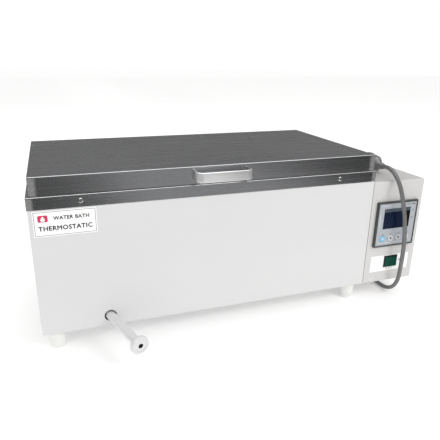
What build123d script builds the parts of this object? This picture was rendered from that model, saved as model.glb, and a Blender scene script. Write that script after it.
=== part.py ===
from build123d import *
import math
import os

# Thermostatic water bath: a stainless tank with a hinged lid in a painted cabinet on four feet,
# with a control box on its right-hand end, a drain cock at the front and a mains lead.
# Millimetres. +X right, -Y front, +Z up. The origin is on the floor, under the middle of the body.

os.makedirs("parts", exist_ok=True)

# ------------------------------------------------------------------ driving dimensions
# tank and its rim
tank_length = 600.0
tank_width = 300.0
tank_depth = 180.0
tank_corner_radius = 12.0
tank_bottom_radius = 6.0
rim_length = 635.0
rim_depth = 326.0
rim_skirt_height = 20.5
steel_sheet = 1.0
edge_bend_radius = 1.4
rim_screw_inset = 81.3
rim_screw_drop = 10.0
rim_screw_shank = 2.0
rim_screw_head = 4.2
rim_screw_rise = 2.2
rim_screw_length = 5.0

# cabinet and feet
foot_height = 35.5
foot_top_radius = 17.0
foot_bottom_radius = 13.0
foot_edge_radius = 4.0
foot_inset = 23.0
foot_bolt_radius = 3.0
foot_bore_radius = 6.5
foot_bore_depth = 12.0
foot_bolt_flats = 10.0
foot_bolt_head = 4.0
foot_nut_thickness = 5.0
foot_bolt_end = 8.0
cabinet_height = 242.0
panel_sheet = 1.2
panel_edge_radius = 1.1
pan_flange_height = 8.0
insulation_floor_thickness = 25.0
insulation_rim_lap = 2.0
insulation_nut_gap = 12.0
insulation_well_gap = 4.0

# lid
lid_length = 624.0
lid_depth = 322.0
lid_height = 30.0
lid_gap = 1.5
lid_sheet = 1.0
lid_liner_recess = 1.5
lid_liner_flange = 10.0
lid_gasket_width = 7.0
lid_gasket_clearance = 0.3
lid_handle_length = 93.0
lid_handle_splay = 3.5
lid_handle_reach = 25.0
lid_handle_height = 17.5
lid_handle_drop = 6.0
lid_handle_strap = 2.0
lid_handle_corner = 7.0
lid_handle_tab = 14.0
lid_handle_edge = 0.6
handle_screw_radius = 2.0
handle_screw_head = 3.6
handle_screw_rise = 1.6
handle_screw_end_gap = 7.0
handle_screw_grip = 4.0
lid_wool_gap = 6.5
lid_gasket_inset = 2.0

# lid hinges
hinge_spacing = 400.0
hinge_knuckle_length = 20.0
hinge_knuckle_gap = 0.4
hinge_knuckle_radius = 3.5
hinge_pin_radius = 2.0
hinge_pin_clearance = 0.06
hinge_leaf_thickness = 1.2
hinge_leaf_height = 18.0
hinge_axis_offset = 4.6
hinge_web_offset = 1.0

# drain cock
drain_from_left = 115.9
drain_height = 53.4
drain_side_lean = 18.8
drain_droop = 3.1
drain_stem_radius = 8.0
drain_stem_clearance = 0.08
drain_bore_radius = 4.2
drain_reach_out = 104.7
drain_reach_in = 45.0
drain_knob_radius = 15.8
drain_knob_thickness = 9.5
drain_knob_edge = 3.0
drain_neck_radius = 6.4
drain_hole_radius = 10.6
drain_hole_offset = 1.0
drain_body_radius = 13.0
drain_body_front = 24.0
drain_body_rear = 14.0
drain_end_wall = 3.0
drain_outlet_radius = 8.0
drain_outlet_wall = 1.5
drain_seal_thickness = 2.0
drain_seal_gap = 0.1
drain_seal_margin = 1.5
drain_seat_distance = -4.0
drain_seat_thickness = 2.0
drain_elbow_drop = 14.0
drain_nut_flats = 24.0
drain_nut_height = 8.0
drain_flange_width = 5.0
drain_socket_depth = 6.0
drain_neck_length = 8.0
drain_port_radius = 2.5
drain_dish_depth = 0.8
drain_dish_margin = 5.0

# heater, shelf and temperature probe
heater_tube_radius = 4.0
heater_leg_spacing = 110.0
heater_height = 25.0
heater_end_gap = 70.0
heater_tail = 40.0
heater_nut_flats = 16.0
heater_nut_thickness = 6.0
heater_washer_thickness = 2.0
heater_bead_radius = 3.2
heater_bead_length = 6.0
heater_stud_radius = 1.8
heater_stud_length = 10.0
shelf_clearance = 0.8
shelf_height = 50.0
shelf_sheet = 1.2
shelf_hole_radius = 6.0
shelf_hole_pitch = 32.0
shelf_side_inset = 4.0
shelf_rest_gap = 0.05
probe_radius = 3.0
probe_length = 120.0
probe_height = 38.0
probe_from_front = 235.0
probe_tail = 12.0
probe_nut_flats = 14.0
probe_nut_thickness = 7.0

# control box
control_box_length = 120.0
control_box_drop = 3.2
control_box_edge_radius = 1.6
vent_slot_length = 46.0
vent_slot_width = 4.0
vent_slot_pitch = 10.0
vent_slot_count = 8
vent_top_gap = 26.0
box_screw_head = 3.2
box_screw_rise = 1.5
box_screw_shank = 1.6
box_screw_length = 6.0
box_screw_inset = 9.0
box_screw_end_gap = 12.0

# temperature controller
controller_size = 96.0
controller_centre_height = 164.1
controller_frame_wall = 3.0
controller_frame_depth = 6.0
controller_frame_corner = 1.5
controller_frame_bevel = 0.8
controller_face_recess = 1.0
controller_face_thickness = 2.0
controller_body_clearance = 0.4
controller_body_size = 91.2
controller_body_depth = 75.0
controller_body_wall = 2.0
controller_ledge = 3.0
clamp_thickness = 5.0
clamp_length = 40.0
clamp_width = 16.0
display_carrier_margin = 2.0
display_carrier_depth = 3.0
window_length = 63.0
window_height = 43.0
window_rise = 12.4
window_thickness = 1.5
key_radius = 6.3
key_clearance = 0.35
key_pitch = 19.2
key_drop = 30.1
key_proud = 1.2
key_flange_lip = 1.3
key_flange_thickness = 1.0
key_travel = 0.8
key_edge = 0.5
key_seat_gap = 0.3
key_root = 0.4
key_switch_size = 6.0
board_margin = 2.1
board_setback = 4.0
board_thickness = 1.6

# rocker switch and its label plate
plate_length = 93.2
plate_height = 35.3
plate_centre_height = 76.1
plate_thickness = 0.8
switch_length = 31.8
switch_height = 25.4
switch_offset_x = 1.8
switch_offset_z = 3.4
switch_bezel_thickness = 2.0
switch_bezel_bevel = 0.7
switch_opening_gap = 0.1
switch_body_length = 29.2
switch_body_height = 23.6
switch_body_depth = 24.0
switch_cavity_length = 27.2
switch_cavity_height = 20.6
switch_cavity_depth = 7.92
rocker_radius = 13.2
rocker_clearance = 0.3
rocker_half_angle = 9.0
rocker_pivot_radius = 1.5
rocker_pivot_clearance = 0.05
rocker_pivot_length = 1.2
rocker_end_rise = 4.0
rocker_dip = 2.2

# name plate
name_plate_length = 97.0
name_plate_height = 42.5
name_plate_from_left = 7.1
name_plate_top_gap = 2.3
name_plate_thickness = 0.6
name_plate_corner = 1.0

# inside the control box
relay_from_front = 190.0
relay_drop = 20.0
sink_thickness = 5.0
sink_length = 70.0
sink_height = 90.0
sink_reach = 22.0
sink_fin_count = 8
sink_fin_thickness = 2.0
relay_length = 44.0
relay_depth = 24.0
relay_rise = 32.0
relay_fall = 24.0
terminal_count = 5
terminal_pitch = 12.0
terminal_width = 20.0
terminal_height = 16.0
terminal_screw_radius = 3.2
terminal_screw_depth = 7.0
terminal_offset = 14.0
terminal_from_rear = 110.0

# mains lead
cord_radius = 4.25
gland_height = 72.0
gland_reach = 40.0
gland_base_radius = 10.0
gland_tip_radius = 6.4
gland_nut_thickness = 6.0
gland_nut_flats = 20.0
gland_neck_radius = 7.5
gland_neck_length = 8.0
gland_boot_step = 2.0
gland_offset = 0.5
plug_front = -51.0
plug_axis_x = 311.0
plug_exit_rise = 17.7
plug_body_length = 44.0
plug_thickness = 25.0
plug_width = 37.0
plug_grip_edge = 8.0
plug_front_edge = 5.0
plug_boot_length = 14.0
plug_boot_base_radius = 7.5
plug_boot_tip_radius = 6.0
pin_thickness = 1.6
pin_width = 6.3
earth_pin_length = 21.0
earth_pin_rise = 8.0
live_pin_length = 18.0
live_pin_offset = 5.5
live_pin_drop = 7.0
live_pin_lean = 30.0
coil_centre_x = 200.0
coil_centre_y = 281.0
coil_middle_radius = 46.0
coil_width = 25.5
coil_base = 1.2
coil_height = 17.0
coil_edge = 4.0
tie_thickness = 1.0
tie_width = 9.0

# ------------------------------------------------------------------ places worked out from them
overall_length = rim_length + control_box_length
rim_corner_radius = panel_edge_radius + steel_sheet
drain_azimuth = math.radians(drain_side_lean)
drain_fall = math.radians(drain_droop)
drain_direction = Vector(
    math.sin(drain_azimuth) * math.cos(drain_fall),
    -math.cos(drain_azimuth) * math.cos(drain_fall),
    -math.sin(drain_fall),
)
knob_slope = math.sqrt(1.0 - drain_direction.Y ** 2)
knob_edge_reach = (drain_reach_out - drain_knob_edge) * abs(drain_direction.Y)
knob_front_reach = knob_edge_reach + (drain_knob_radius - drain_knob_edge) * knob_slope + drain_knob_edge
front_overhang = knob_front_reach - steel_sheet
rear_overhang = hinge_axis_offset + hinge_knuckle_radius
overall_depth = front_overhang + rim_depth + rear_overhang

rim_left = -overall_length / 2
rim_right = rim_left + rim_length
rim_front = -overall_depth / 2 + front_overhang
rim_rear = rim_front + rim_depth
rim_top = foot_height + cabinet_height
rim_bottom = rim_top - rim_skirt_height
tank_x = (rim_left + rim_right) / 2
tank_y = (rim_front + rim_rear) / 2
tank_floor = rim_top - tank_depth
tank_left = tank_x - tank_length / 2
tank_right = tank_x + tank_length / 2
tank_front = tank_y - tank_width / 2
tank_rear = tank_y + tank_width / 2

cabinet_left = rim_left + steel_sheet
cabinet_right = rim_right - steel_sheet
cabinet_front = rim_front + steel_sheet
cabinet_rear = rim_rear - steel_sheet
cabinet_bottom = foot_height
cabinet_top = rim_top - steel_sheet

lid_left = tank_x - lid_length / 2
lid_right = tank_x + lid_length / 2
lid_front = tank_y - lid_depth / 2
lid_rear = tank_y + lid_depth / 2
lid_bottom = rim_top + lid_gap
lid_top = lid_bottom + lid_height

hinge_y = rim_rear + hinge_axis_offset
hinge_z = rim_top + lid_gap / 2
knuckle_step = hinge_knuckle_length + hinge_knuckle_gap

box_left = cabinet_right
box_right = rim_right + control_box_length
box_top = rim_bottom - control_box_drop
box_x = (box_left + box_right) / 2
box_inner_right = box_right - panel_sheet

drain_point = Vector(rim_left + drain_from_left, cabinet_front, drain_height)


def block(x0, x1, y0, y1, z0, z1):
    """A box between two corners."""
    centre = ((x0 + x1) / 2, (y0 + y1) / 2, (z0 + z1) / 2)
    return Pos(*centre) * Box(x1 - x0, y1 - y0, z1 - z0)


def rod(radius, start, end):
    """A cylinder of one radius between two points."""
    start = Vector(*start) if isinstance(start, tuple) else start
    end = Vector(*end) if isinstance(end, tuple) else end
    run = end - start
    upright = (Align.CENTER, Align.CENTER, Align.MIN)
    return Plane(origin=start, z_dir=run) * Cylinder(radius, run.length, align=upright)


def taper(radius_start, radius_end, start, end):
    """A cone frustum between two points."""
    start = Vector(*start)
    run = Vector(*end) - start
    upright = (Align.CENTER, Align.CENTER, Align.MIN)
    return Plane(origin=start, z_dir=run) * Cone(radius_start, radius_end, run.length, align=upright)


def hexagon(flats, start, end):
    """A hexagonal bar between two points, measured across its flats."""
    start = Vector(*start)
    run = Vector(*end) - start
    outline = Plane(origin=start, z_dir=run) * RegularPolygon(flats / 2, 6, major_radius=False)
    return extrude(outline, run.length, dir=run.normalized())


def group(solids):
    """Several separate solids kept in one node."""
    return Compound(children=list(solids))


def vertical_edges(shape):
    return shape.edges().filter_by(Axis.Z)


def domed_screw(head, outward, head_radius, head_height, shank_radius, shank_length):
    """A domed screw: head seated at a point, its dome outward, its shank going in."""
    head = Vector(*head)
    out = Vector(*outward)
    top = head + out * head_height
    dome = rod(head_radius, head, top)
    rim_edges = [e for e in dome.edges().filter_by(GeomType.CIRCLE) if (e.arc_center - top).length < 0.01]
    dome = fillet(rim_edges, head_height * 0.8)
    return dome + rod(shank_radius, head - out * shank_length, head)


def box_corners(x_gap, y_gap, x0, x1, y0, y1):
    """The four points set in from a rectangle's corners."""
    return [(x, y) for x in (x0 + x_gap, x1 - x_gap) for y in (y0 + y_gap, y1 - y_gap)]


# ------------------------------------------------------------------ tank, shelf, heater, probe
shelf_plane = tank_floor + shelf_height
heater_z = tank_floor + heater_height
heater_rows = [tank_y - heater_leg_spacing / 2, tank_y + heater_leg_spacing / 2]
heater_end_x = cabinet_right + heater_tail
probe_y = tank_front + probe_from_front
probe_z = tank_floor + probe_height
drain_cross = drain_point - drain_direction * drain_reach_in


def make_inner_tank():
    """Tank, flange and folded-down skirt: one welded stainless pressing."""
    outer = block(
        tank_left - steel_sheet, tank_right + steel_sheet, tank_front - steel_sheet,
        tank_rear + steel_sheet, tank_floor - steel_sheet, rim_top,
    )
    outer = fillet(vertical_edges(outer), tank_corner_radius + steel_sheet)
    outer = fillet(outer.edges().group_by(Axis.Z)[0], tank_bottom_radius + steel_sheet)
    inner = block(tank_left, tank_right, tank_front, tank_rear, tank_floor, rim_top)
    inner = fillet(vertical_edges(inner), tank_corner_radius)
    inner = fillet(inner.edges().group_by(Axis.Z)[0], tank_bottom_radius)
    rim = block(rim_left, rim_right, rim_front, rim_rear, rim_bottom, rim_top)
    rim = fillet(vertical_edges(rim), rim_corner_radius)
    rim = fillet(rim.edges().group_by(Axis.Z)[-1], edge_bend_radius)
    under = block(
        rim_left + steel_sheet, rim_right - steel_sheet, rim_front + steel_sheet,
        rim_rear - steel_sheet, rim_bottom - 1, rim_top - steel_sheet,
    )
    under = fillet(vertical_edges(under), rim_corner_radius - steel_sheet)
    tank = (rim - under) + outer - inner
    wall = (tank_right - 1, tank_right + steel_sheet + 1)
    for y in heater_rows:
        tank -= rod(heater_tube_radius, (wall[0], y, heater_z), (wall[1], y, heater_z))
    tank -= rod(probe_radius, (wall[0], probe_y, probe_z), (wall[1], probe_y, probe_z))
    tank -= rod(
        drain_outlet_radius,
        (drain_cross.X, drain_cross.Y, tank_floor - 2 * steel_sheet),
        (drain_cross.X, drain_cross.Y, tank_floor + 1),
    )
    for x, y, out in rim_screw_places():
        tank -= rod(rim_screw_shank, (x, y - 3 * out, rim_screw_z), (x, y + 3 * out, rim_screw_z))
    return tank


rim_screw_z = rim_top - rim_screw_drop


def rim_screw_places():
    """Two screws on the front of the skirt and two on its rear: x, y and outward sign in Y."""
    xs = (rim_left + rim_screw_inset, rim_right - rim_screw_inset)
    return [(x, y, out) for y, out in ((rim_front, -1), (rim_rear, 1)) for x in xs]


def make_rim_screws():
    screws = []
    for x, y, out in rim_screw_places():
        seat = (x, y, rim_screw_z)
        screws.append(domed_screw(
            seat, (0, out, 0), rim_screw_head, rim_screw_rise, rim_screw_shank, rim_screw_length,
        ))
    return group(screws)


def make_heating_element():
    """One hairpin of sheathed heater, its two tails passing through the right-hand wall."""
    bend_x = tank_left + heater_end_gap + heater_leg_spacing / 2
    front, rear = heater_rows
    first = Line((heater_end_x, front, heater_z), (bend_x, front, heater_z))
    bend = ThreePointArc(
        (bend_x, front, heater_z),
        (bend_x - heater_leg_spacing / 2, tank_y, heater_z),
        (bend_x, rear, heater_z),
    )
    last = Line((bend_x, rear, heater_z), (heater_end_x, rear, heater_z))
    section = Plane(origin=(heater_end_x, front, heater_z), z_dir=(-1, 0, 0)) * Circle(heater_tube_radius)
    return sweep(section, path=Wire([first, bend, last]))


def make_heater_nuts():
    """A hexagon nut on each tail outside the tank wall and a sealing washer inside it."""
    solids = []
    outside = tank_right + steel_sheet
    for y in heater_rows:
        hole = rod(heater_tube_radius, (tank_right - 5, y, heater_z), (outside + 12, y, heater_z))
        nut = hexagon(
            heater_nut_flats, (outside, y, heater_z), (outside + heater_nut_thickness, y, heater_z)
        )
        washer = rod(
            heater_nut_flats / 2, (tank_right - heater_washer_thickness, y, heater_z), (tank_right, y, heater_z)
        )
        solids.append(nut - hole)
        solids.append(washer - hole)
    return group(solids)


def make_heater_terminals():
    """A ceramic bead and threaded stud on the end of each tail."""
    studs = []
    bead_end = heater_end_x + heater_bead_length
    for y in heater_rows:
        bead = rod(heater_bead_radius, (heater_end_x, y, heater_z), (bead_end, y, heater_z))
        stud = rod(heater_stud_radius, (bead_end, y, heater_z), (bead_end + heater_stud_length, y, heater_z))
        studs.append(bead + stud)
    return group(studs)


def make_shelf():
    """Perforated plate on two folded-down long sides, standing on the tank floor."""
    edge_gap = tank_bottom_radius + shelf_clearance
    x0 = tank_left + edge_gap
    x1 = tank_right - edge_gap
    y0 = tank_front + edge_gap
    y1 = tank_rear - edge_gap
    plate = block(x0, x1, y0, y1, shelf_plane - shelf_sheet, shelf_plane)
    plate = fillet(vertical_edges(plate), tank_corner_radius)
    side_inset = tank_corner_radius + shelf_side_inset
    foot = tank_floor + shelf_rest_gap
    for y in (y0, y1 - shelf_sheet):
        plate += block(x0 + side_inset, x1 - side_inset, y, y + shelf_sheet, foot, shelf_plane)
    columns = int((x1 - x0 - 2 * shelf_hole_pitch) // shelf_hole_pitch) + 1
    rows = int((y1 - y0 - 2 * shelf_hole_pitch) // shelf_hole_pitch) + 1
    grid = GridLocations(shelf_hole_pitch, shelf_hole_pitch, columns, rows)
    at_plate = Pos(tank_x, tank_y, shelf_plane - 2 * shelf_sheet)
    pattern = Sketch() + grid * Circle(shelf_hole_radius)
    holes = extrude(at_plate * pattern, 3 * shelf_sheet)
    return plate - holes


def make_temperature_probe():
    """Sealed stainless sheath, closed and rounded at its tip."""
    tip = (tank_right - probe_length, probe_y, probe_z)
    tail = (cabinet_right + probe_tail, probe_y, probe_z)
    sheath = rod(probe_radius, tip, tail)
    tip_edges = [e for e in sheath.edges().filter_by(GeomType.CIRCLE) if e.center().X < tip[0] + 0.1]
    return fillet(tip_edges, probe_radius * 0.9)


def make_probe_gland():
    outside = tank_right + steel_sheet
    hole = rod(probe_radius, (outside - 1, probe_y, probe_z), (outside + 12, probe_y, probe_z))
    nut = hexagon(
        probe_nut_flats, (outside, probe_y, probe_z), (outside + probe_nut_thickness, probe_y, probe_z)
    )
    return nut - hole


def make_tank_insulation():
    """Slabs of mineral wool between the tank and the cabinet panels, and one under its floor."""
    wool_top = rim_bottom + insulation_rim_lap
    wool_bottom = tank_floor - steel_sheet
    front_in = tank_front - steel_sheet
    rear_in = tank_rear + steel_sheet
    left_in = tank_left - steel_sheet
    right_in = tank_right + steel_sheet
    front_out = cabinet_front + panel_sheet
    rear_out = cabinet_rear - panel_sheet
    left_out = cabinet_left + panel_sheet
    right_out = cabinet_right - panel_sheet
    above_nuts = probe_z + insulation_nut_gap
    corner = tank_corner_radius
    slabs = [
        block(left_out, right_out, front_out, front_in, wool_bottom, wool_top),
        block(left_out, right_out, rear_in, rear_out, wool_bottom, wool_top),
        block(left_out, left_in, front_in, rear_in, wool_bottom, wool_top),
        block(right_in, right_out, front_in + corner, rear_in - corner, above_nuts, wool_top),
    ]
    floor_slab = block(
        left_in, right_in, front_in, rear_in, wool_bottom - insulation_floor_thickness, wool_bottom
    )
    well = drain_body_radius + insulation_well_gap
    low = (drain_cross.X, drain_cross.Y, wool_bottom - insulation_floor_thickness - 1)
    high = (drain_cross.X, drain_cross.Y, wool_bottom + 1)
    slabs.append(floor_slab - rod(well, low, high))
    return group(slabs)


# ------------------------------------------------------------------ drain cock
def along_drain(distance):
    """A point on the drain's axis, measured outward from the crossing of its two bores."""
    return drain_cross + drain_direction * distance


seal_start = drain_seat_distance + drain_seat_thickness + drain_seal_gap
stem_start = seal_start + drain_seal_thickness
elbow_top = tank_floor - steel_sheet - drain_elbow_drop


def make_drain_outlet():
    """Short tube with a flange inside the tank, welded through the tank floor."""
    centre = (drain_cross.X, drain_cross.Y)
    outer = drain_outlet_radius
    tube = rod(outer, (*centre, elbow_top - drain_socket_depth), (*centre, tank_floor))
    flange = rod(outer + drain_flange_width, (*centre, tank_floor), (*centre, tank_floor + steel_sheet))
    bore = rod(outer - drain_outlet_wall, (*centre, elbow_top - drain_socket_depth - 1), (*centre, tank_floor + 2))
    return tube + flange - bore


def make_drain_nut():
    """Union nut that draws the elbow up to the outlet tube, hard under the tank floor."""
    centre = (drain_cross.X, drain_cross.Y)
    low = elbow_top
    high = elbow_top + drain_nut_height
    nut = hexagon(drain_nut_flats, (*centre, low), (*centre, high))
    return nut - rod(drain_outlet_radius, (*centre, low - 1), (*centre, high + 1))


def make_drain_elbow():
    """Valve body: a socket for the outlet, a seat wall, and a long bore that guides the stem."""
    centre = (drain_cross.X, drain_cross.Y)
    barrel = rod(drain_body_radius, along_drain(-drain_body_rear), along_drain(drain_body_front))
    socket = rod(drain_body_radius - 1, (*centre, drain_cross.Z), (*centre, elbow_top))
    body = barrel + socket
    inlet = rod(drain_outlet_radius - drain_outlet_wall, (*centre, drain_cross.Z), (*centre, elbow_top + 1))
    pocket = rod(drain_outlet_radius, (*centre, elbow_top - drain_socket_depth), (*centre, elbow_top + 1))
    rear_chamber = rod(
        drain_outlet_radius - drain_outlet_wall,
        along_drain(-drain_body_rear + drain_end_wall), along_drain(drain_seat_distance),
    )
    seat = rod(drain_bore_radius, along_drain(drain_seat_distance - 1), along_drain(seal_start))
    guide = rod(
        drain_stem_radius + drain_stem_clearance,
        along_drain(drain_seat_distance + drain_seat_thickness), along_drain(drain_body_front + 1),
    )
    wall = rod(
        drain_stem_radius + 1,
        along_drain(drain_seat_distance), along_drain(drain_seat_distance + drain_seat_thickness),
    )
    return body - inlet - pocket - guide + wall - rear_chamber - seat


def make_drain_seal():
    """Rubber disc on the inner end of the stem that closes the seat."""
    return rod(drain_stem_radius - drain_seal_margin, along_drain(seal_start), along_drain(stem_start))


def make_drain_stem():
    """Hollow stem and knob in one piece: unscrewing it opens the seat and lets water out of its bore."""
    outer_end = drain_reach_in + drain_reach_out
    neck_end = stem_start + drain_neck_length
    neck = rod(drain_neck_radius, along_drain(stem_start), along_drain(neck_end))
    tube = rod(drain_stem_radius, along_drain(neck_end), along_drain(outer_end - 2))
    knob_start = along_drain(outer_end - drain_knob_thickness)
    knob = rod(drain_knob_radius, knob_start, along_drain(outer_end))
    knob = fillet(knob.edges().filter_by(GeomType.CIRCLE), drain_knob_edge)
    bore = rod(drain_bore_radius, along_drain(stem_start + 2), along_drain(outer_end + 1))
    dish = rod(
        drain_knob_radius - drain_dish_margin,
        along_drain(outer_end - drain_dish_depth), along_drain(outer_end + 1),
    )
    stem = neck + tube + knob - bore - dish
    port_centre = along_drain(stem_start + drain_neck_length / 2 + 1)
    across = drain_direction.cross(Vector(0, 0, 1)).normalized() * (drain_stem_radius + 1)
    return stem - rod(drain_port_radius, port_centre - across, port_centre + across)


# ------------------------------------------------------------------ cabinet
def make_base_pan():
    x0 = cabinet_left + panel_sheet
    x1 = cabinet_right - panel_sheet
    y0 = cabinet_front + panel_sheet
    y1 = cabinet_rear - panel_sheet
    pan = block(x0, x1, y0, y1, cabinet_bottom, cabinet_bottom + pan_flange_height)
    pan -= block(
        x0 + panel_sheet, x1 - panel_sheet, y0 + panel_sheet, y1 - panel_sheet,
        cabinet_bottom + panel_sheet, cabinet_bottom + pan_flange_height + 1,
    )
    for x, y in foot_places():
        pan -= rod(foot_bolt_radius, (x, y, cabinet_bottom - 1), (x, y, cabinet_bottom + 3))
    return pan


def make_front_panel():
    panel = block(
        cabinet_left, cabinet_right, cabinet_front, cabinet_front + panel_sheet, cabinet_bottom, cabinet_top
    )
    panel = fillet(vertical_edges(panel).group_by(Axis.Y)[0], panel_edge_radius)
    hole_x = drain_point.X - drain_hole_offset
    hole_z = drain_point.Z + drain_hole_offset
    panel -= rod(
        drain_hole_radius,
        (hole_x, cabinet_front - 1, hole_z), (hole_x, cabinet_front + panel_sheet + 1, hole_z),
    )
    for x, y, out in rim_screw_places()[:2]:
        panel -= rod(rim_screw_shank, (x, cabinet_front - 1, rim_screw_z), (x, cabinet_front + 3, rim_screw_z))
    return panel


def make_rear_panel():
    panel = block(
        cabinet_left, cabinet_right, cabinet_rear - panel_sheet, cabinet_rear, cabinet_bottom, cabinet_top
    )
    panel = fillet(vertical_edges(panel).group_by(Axis.Y)[-1], panel_edge_radius)
    for x, y, out in rim_screw_places()[2:]:
        panel -= rod(rim_screw_shank, (x, cabinet_rear - 3, rim_screw_z), (x, cabinet_rear + 1, rim_screw_z))
    return panel


def make_side_panel(x0):
    return block(
        x0, x0 + panel_sheet, cabinet_front + panel_sheet, cabinet_rear - panel_sheet,
        cabinet_bottom, cabinet_top,
    )


def make_right_side_panel():
    """The wall between the tank bay and the control box, bored for the heater tails and probe."""
    panel = make_side_panel(cabinet_right - panel_sheet)
    x0 = cabinet_right - panel_sheet - 1
    x1 = cabinet_right + 1
    for y in heater_rows:
        panel -= rod(heater_tube_radius + 2, (x0, y, heater_z), (x1, y, heater_z))
    return panel - rod(probe_radius + 1, (x0, probe_y, probe_z), (x1, probe_y, probe_z))


def foot_places():
    return box_corners(foot_inset, foot_inset, cabinet_left, cabinet_right, cabinet_front, cabinet_rear)


def make_foot(x, y):
    """Moulded foot, wider at its top, with its bolt's counterbore from below."""
    foot = taper(foot_bottom_radius, foot_top_radius, (x, y, 0), (x, y, foot_height))
    foot = fillet(foot.edges().group_by(Axis.Z)[0], foot_edge_radius)
    foot -= rod(foot_bore_radius, (x, y, -1), (x, y, foot_bore_depth))
    return foot - rod(foot_bolt_radius, (x, y, 0), (x, y, foot_height + 1))


def make_foot_bolts():
    """A hexagon-headed bolt up through each foot and the base pan, with its nut."""
    solids = []
    nut_base = cabinet_bottom + panel_sheet
    for x, y in foot_places():
        head = hexagon(foot_bolt_flats, (x, y, foot_bore_depth - foot_bolt_head), (x, y, foot_bore_depth))
        shank = rod(foot_bolt_radius, (x, y, foot_bore_depth - 1), (x, y, nut_base + foot_bolt_end))
        nut = hexagon(foot_bolt_flats, (x, y, nut_base), (x, y, nut_base + foot_nut_thickness))
        solids.append(head + shank)
        solids.append(nut - rod(foot_bolt_radius, (x, y, nut_base - 1), (x, y, nut_base + foot_bolt_end + 1)))
    return group(solids)


# ------------------------------------------------------------------ lid and its hinges
liner_bottom = lid_bottom + lid_liner_recess
liner_top = liner_bottom + lid_sheet
lid_inner = (lid_left + lid_sheet, lid_right - lid_sheet, lid_front + lid_sheet, lid_rear - lid_sheet)


def make_lid_shell():
    shell = block(lid_left, lid_right, lid_front, lid_rear, lid_bottom, lid_top)
    shell = fillet(vertical_edges(shell), edge_bend_radius)
    shell = fillet(shell.edges().group_by(Axis.Z)[-1], edge_bend_radius - 0.1)
    x0, x1, y0, y1 = lid_inner
    shell -= block(x0, x1, y0, y1, lid_bottom - 1, lid_top - lid_sheet)
    for x in handle_screw_xs():
        shell -= rod(handle_screw_radius, (x, lid_front - 1, handle_screw_z), (x, lid_front + 3, handle_screw_z))
    return shell


def make_lid_liner():
    """Inner pan of the lid: a flat sheet with its edges turned up inside the skirt."""
    x0, x1, y0, y1 = lid_inner
    liner = block(x0, x1, y0, y1, liner_bottom, liner_bottom + lid_liner_flange)
    return liner - block(
        x0 + lid_sheet, x1 - lid_sheet, y0 + lid_sheet, y1 - lid_sheet,
        liner_top, liner_bottom + lid_liner_flange + 1,
    )


def make_lid_insulation():
    x0, x1, y0, y1 = lid_inner
    gap = lid_sheet + lid_wool_gap
    return block(x0 + gap, x1 - gap, y0 + gap, y1 - gap, liner_top, lid_top - lid_sheet)


def make_lid_gasket():
    """Flat silicone ring under the liner that meets the tank's flange all the way round."""
    x0, x1, y0, y1 = lid_inner
    low = rim_top + lid_gasket_clearance
    outer = lid_gasket_inset
    ring = block(x0 + outer, x1 - outer, y0 + outer, y1 - outer, low, liner_bottom)
    inset = outer + lid_gasket_width
    return ring - block(x0 + inset, x1 - inset, y0 + inset, y1 - inset, low - 1, liner_bottom + 1)


handle_top = lid_top - lid_handle_drop
handle_screw_z = handle_top - lid_handle_height / 2


def handle_screw_xs():
    reach = lid_handle_length / 2 + lid_handle_splay - lid_handle_strap - handle_screw_end_gap
    return (tank_x - reach, tank_x + reach)


def make_lid_handle():
    """One strap bent into a bow, its two ends turned inward against the lid's skirt."""
    front = lid_front - lid_handle_reach
    back = lid_front
    half = lid_handle_length / 2
    splayed = half + lid_handle_splay
    strap = lid_handle_strap
    outer = Polyline(
        (tank_x - splayed, back), (tank_x - half, front), (tank_x + half, front), (tank_x + splayed, back),
        (tank_x - splayed, back),
    )
    inner = Polyline(
        (tank_x - splayed + strap, back - strap), (tank_x - half + strap, front + strap),
        (tank_x + half - strap, front + strap), (tank_x + splayed - strap, back - strap),
        (tank_x - splayed + strap, back - strap),
    )
    outer_face = make_face(outer)
    inner_face = make_face(inner)
    outer_face = fillet(outer_face.vertices().group_by(Axis.Y)[0], lid_handle_corner)
    inner_face = fillet(inner_face.vertices().group_by(Axis.Y)[0], lid_handle_corner - strap)
    gap_half = splayed - lid_handle_tab
    base = handle_top - lid_handle_height
    bow = extrude(Pos(0, 0, base) * (outer_face - inner_face), lid_handle_height)
    bow -= block(tank_x - gap_half, tank_x + gap_half, back - strap - 1, back + 1, base - 1, handle_top + 1)
    long_edges = [
        e for e in bow.edges() if e.center().Y < front + 0.01 and abs(e.center().X - tank_x) < 1
    ]
    bow = fillet(long_edges, lid_handle_edge)
    for x in handle_screw_xs():
        bow -= rod(handle_screw_radius, (x, back - strap - 1, handle_screw_z), (x, back + 1, handle_screw_z))
    return bow


def make_handle_screws():
    """A screw through each end of the handle into the skirt, headed on the handle's tab."""
    screws = []
    for x in handle_screw_xs():
        seat = (x, lid_front - lid_handle_strap, handle_screw_z)
        length = lid_handle_strap + lid_sheet + handle_screw_grip
        screws.append(domed_screw(
            seat, (0, -1, 0), handle_screw_head, handle_screw_rise, handle_screw_radius, length,
        ))
    return group(screws)



def hinge_centres():
    return (tank_x - hinge_spacing / 2, tank_x + hinge_spacing / 2)


def knuckle(centre_x, bore):
    half = hinge_knuckle_length / 2
    tube = rod(hinge_knuckle_radius, (centre_x - half, hinge_y, hinge_z), (centre_x + half, hinge_y, hinge_z))
    return tube - rod(bore, (centre_x - half - 1, hinge_y, hinge_z), (centre_x + half + 1, hinge_y, hinge_z))


def leaf_plate(centre_x, y0, z0, z1):
    half = 1.5 * hinge_knuckle_length + hinge_knuckle_gap
    return block(centre_x - half, centre_x + half, y0, y0 + hinge_leaf_thickness, z0, z1)


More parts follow.
